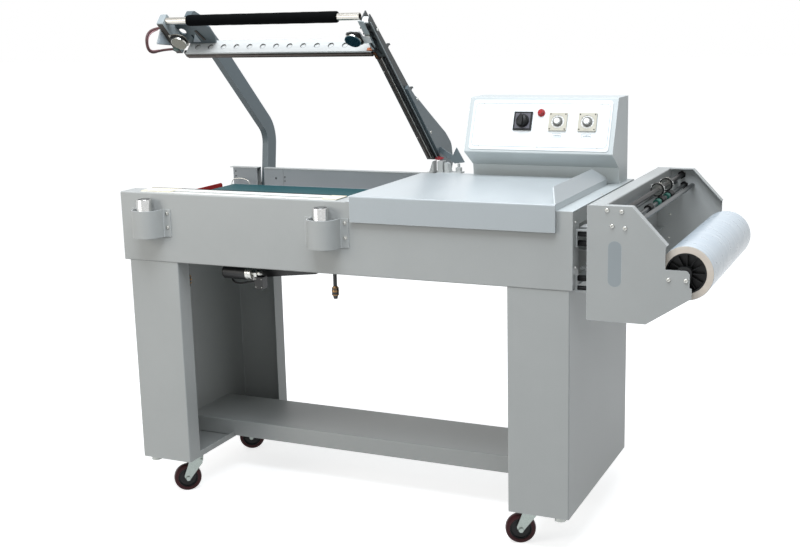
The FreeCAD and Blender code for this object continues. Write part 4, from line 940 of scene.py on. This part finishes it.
print_grey = moulded("grey_printing_ink", "#8f989c", "#a5adb0", 0.4, 0.9, 0.01)
border = [round_corners(850.5, 1219.5, 16, 135, 12), round_corners(851.6, 1218.4, 17.1, 133.9, 11)]
pierced("panel_border", on_face(0, 0, 0.12), ALONG, SLOPE, border, 0.1, print_grey, "frame")
RIVETS_AT = ((874, 134.4), (1194.5, 134.4), (872, 16.6), (1034, 16.6), (1194.5, 16.6))
panel_rivets = [(on_face(across, up), OUTWARD) for across, up in RIVETS_AT]
button_screws("panel_rivets", panel_rivets, 1.7, zinc, "frame")
violet_grey = moulded("violet_grey_polyamide", "#4b4a52", "#5c5b64", 0.45, 0.9, 0.04)
slab("switch_face", on_face(987.6, 86, 4.0), ALONG, SLOPE, rectangle(-20.5, 20.5, -20.5, 20.5), 0.5,
    violet_grey, "frame", 0.2)
DOME = [(0, 0), (0, 15.2), (3, 14.6), (6.5, 12.4), (8, 9), (8, 0)]
lathe("switch_knob_dome", on_face(987.6, 86, 10.4), OUTWARD, DOME, deep_black, "knob", 40)


def panel_film():
    """Polyester overlay, back-printed white: smooth, slightly glossy, a trace of dust."""
    material, tree, shader, where = start("printed_polyester_film")
    dust = noise(tree, where, 0.04, 5.0)
    body = blend_colours(tree, spread(tree, dust, -0.3, 1.0), srgb("#f1f4f5"), srgb("#e6eaeb"))
    feed(tree, shader, {"Base Color": body, "Roughness": spread(tree, dust, 0.24, 0.36)})
    return material


paint(panel_film(), "control_panel")
beige_abs = moulded("beige_abs", "#b9b4a4", "#c8c4b6", 0.42, 0.9, 0.06)
paint(beige_abs, "timer_bodies")
white_abs = moulded("white_abs", "#e8e8e4", "#f0f0ee", 0.34, 0.9, 0.05)
paint(white_abs, "seal_timer_dial", "magnet_timer_dial")
lamp_shell = moulded("red_polycarbonate", "#94060f", "#ab0d18", 0.2, 2.0, 0.02)
paint(lamp_shell, "pilot_lamp")
dial_grey = moulded("dark_grey_acetal", "#5a5955", "#6d6c67", 0.4, 1.0, 0.08)
WELL = [(0, 13.2), (0, 17.3), (0.3, 17.3), (0.3, 13.2)]
DIAL_GRIP = [(0, 8.4), (0, 13.0), (2.4, 13.0), (3.4, 12.2), (3.4, 8.4)]
sign = [round_corners(-13, 13, -5.5, 5.5, 3), round_corners(-12.2, 12.2, -4.7, 4.7, 2.4)]
for across, body in ((1083.3, "seal_dial"), (1162.4, "magnet_dial")):
    lathe(body + "_well", on_face(across, 85, 3.5), OUTWARD, WELL, white_abs, "frame", 48,
        closed=True)
    lathe(body + "_grip", on_face(across, 85, 3.9), OUTWARD, DIAL_GRIP, dial_grey, body, 26,
        closed=True)
    marks = bmesh.new()
    for i in range(11):
        turn = math.radians(-140 + 28 * i)
        way = Vector(SLOPE) * math.cos(turn) + Vector(ALONG) * math.sin(turn)
        turned(marks, on_face(across, 85, 3.84) + way * 15.2 * MM, OUTWARD,
            [(0, 0), (0, 0.75), (0.1, 0.75), (0.1, 0)], 8)
    for a, b in ((-20, -20), (20, -20), (20, 20), (-20, 20)):
        turned(marks, on_face(across + a, 85 + b, 5.0), OUTWARD, [(0, 0), (0, 1.9), (0.4, 1.7), (0.4, 0)], 12)
    mesh_piece(body + "_marks", to_mesh(marks, body + "_marks"), deep_black, "frame")
    pierced(body + "_sign", on_face(across, 48.6, 0.12), ALONG, SLOPE, sign, 0.1, print_grey, "frame")
    bars = [(-8 + 4 * i, -5 + 4 * i, -2.4, 2.4 - 0.8 * abs(i - 2)) for i in range(5)]
    for i, bar in enumerate(bars):
        slab("%s_sign_%d" % (body, i), on_face(across, 48.6, 0.05), ALONG, SLOPE, rectangle(*bar), 0.12,
            print_grey, "frame")

# -------------------------------- film unwinder
# Browned rods, black needle wheels on their shaft and a pressing shaft with black and green
# rubber sleeves between the plates; the roll turns on a spindle with cone chucks.

dark_rod = plated_steel("browned_steel_rod", "#6d7173", 0.36)
paint(dark_rod, "guide_rods", "rubber_shaft")
paint(deep_black, "needle_shaft", "roll_spindle", "spindle_blocks")


def along_shaft(joint, y):
    """A place on a shaft of the unwinder, y mm back from the front of the table."""
    axis = Vector(joints[joint]["pos_m"])
    return Vector((axis.x, at(0, y, 0).y, axis.z))


green_rubber = moulded("green_nitrile_rubber", "#174f45", "#227062", 0.5, 1.2, 0.1)
SLEEVES = (
    ("press_sleeve_0", 389.5, 33, 11.8, rubber_black),
    ("press_sleeve_1", 489.5, 33, 11.8, rubber_black),
    ("press_sleeve_2", 268, 28, 9.6, rubber_black),
    ("green_sleeve_0", 362, 22, 9.4, green_rubber),
    ("green_sleeve_1", 466, 20, 9.4, green_rubber),
)
for name, y, length, radius, material in SLEEVES:
    rings = [(0, 5.0), (0, radius - 0.8), (0.8, radius), (length - 0.8, radius), (length, radius - 0.8),
        (length, 5.0)]
    lathe(name, along_shaft("rubber_shaft_turn", y), TO_REAR, rings, material, "rubber", 36,
        closed=True)
needles = bmesh.new()
for y in (406.0, 506.0):
    middle = along_shaft("needle_shaft_turn", y)
    for i in range(28):
        turn = math.tau * i / 28
        way = Vector((math.cos(turn), 0, math.sin(turn)))
        turned(needles, middle + way * 16.6 * MM, way, [(0, 0.6), (3.2, 0.0)], 6)
mesh_piece("perforating_needles", to_mesh(needles, "perforating_needles"), bright_wire, "needles")
for count, y in enumerate((396.4, 496.4)):
    lathe("needle_collar_%d" % count, along_shaft("needle_shaft_turn", y), TO_REAR,
        [(0, 6), (0, 14), (3.4, 14), (3.4, 6)], bright_wire, "needles", 36, closed=True)
# Painted shade: a darker grey patch in the shallow slot of the front plate, for the shade in the recess.
slot_shade_grey = powder_coat("slot_recess_painted_shade", "#9fa6a9", "#bcc3c5", 0.44)
slab("front_plate_slot_shade", at(0, -0.1, 0), ALONG, UP, round_corners(1332, 1363, 683, 788, 15), -0.4, slot_shade_grey,
    "frame")
FLANGES = (
    (765, [(0, 0), (4, 0), (4, 38), (32, 38), (32, 42), (0, 42)]),
    (661, [(0, 0), (32, 0), (32, 4), (4, 4), (4, 40), (0, 40)]),
)
for count, (z, angle) in enumerate(FLANGES):
    slab("mount_flange_%d" % count, at(1250.8, 20, z), ALONG, UP, angle, -4, grey_coat, "frame",
        0.4)
BUFFER = [(0, 0), (0, 6), (2, 7), (26, 7), (28, 6), (28, 0)]
for count, (y, z) in enumerate(((30.0, 796.0), (30.0, 667.0), (38.0, 772.0), (38.0, 690.0))):
    lathe("mount_buffer_%d" % count, at(1252, y, z), ALONG, BUFFER, rubber_black, "frame",
        24)
wound_edge = moulded("cut_film_edge", "#ddd0c2", "#ece2d6", 0.4, 0.8, 0.1)
film_end = along_shaft("film_roll_turn", 16)
RING = [(-0.4, 45), (-0.4, 60.6), (0.7, 60.2), (0.7, 45.6)]
CORE = [(-13.8, 41.4), (-13.8, 44.2), (0.9, 45.4), (1.3, 44.6), (1.3, 42.0)]
HUB_CONE = [(-13.8, 0), (-13.8, 14), (-1.5, 13), (0, 11.5), (0, 0)]
RIB = [(0, 0), (30, 0), (30, 8), (4, 12), (0, 12)]
RIBS = 12
lathe("film_end_ring", film_end, FRONT, RING, wound_edge, "film", 96, closed=True)
lathe("core_tube", film_end, FRONT, CORE, rubber_black, "film", 96, closed=True)
lathe("core_hub", film_end, FRONT, HUB_CONE, deep_black, "film", 40)
for i in range(RIBS):
    turn = math.tau * i / RIBS
    spoke = Vector((math.cos(turn), 0, math.sin(turn)))
    foot = film_end + spoke * 12 * MM - Vector(FRONT) * 13.6 * MM
    slab("core_rib_%d" % i, foot, spoke, FRONT, RIB, 1.6, deep_black, "film", 0.3)


def wound_film():
    """Clear polyolefin wound tight: bluish white, glossy, with faint bands round it 6 mm wide."""
    gloss = {"Coat Weight": 0.3, "Coat Roughness": 0.1}
    material, tree, shader, where = start("wound_polyolefin_film", **gloss)
    bands = noise(tree, stretch(tree, where, (3.0, 160.0, 3.0)), 1.0, 4.0)
    body = blend_colours(tree, spread(tree, bands, -0.2, 1.2), srgb("#b3c1cc"), srgb("#d3dde4"))
    rough = spread(tree, noise(tree, where, 0.03, 3.0), 0.2, 0.4)
    feed(tree, shader, {"Base Color": body, "Roughness": rough})
    relief(tree, shader, bands, 0.5, 0.0006)
    return material


paint(wound_film(), "film_roll")
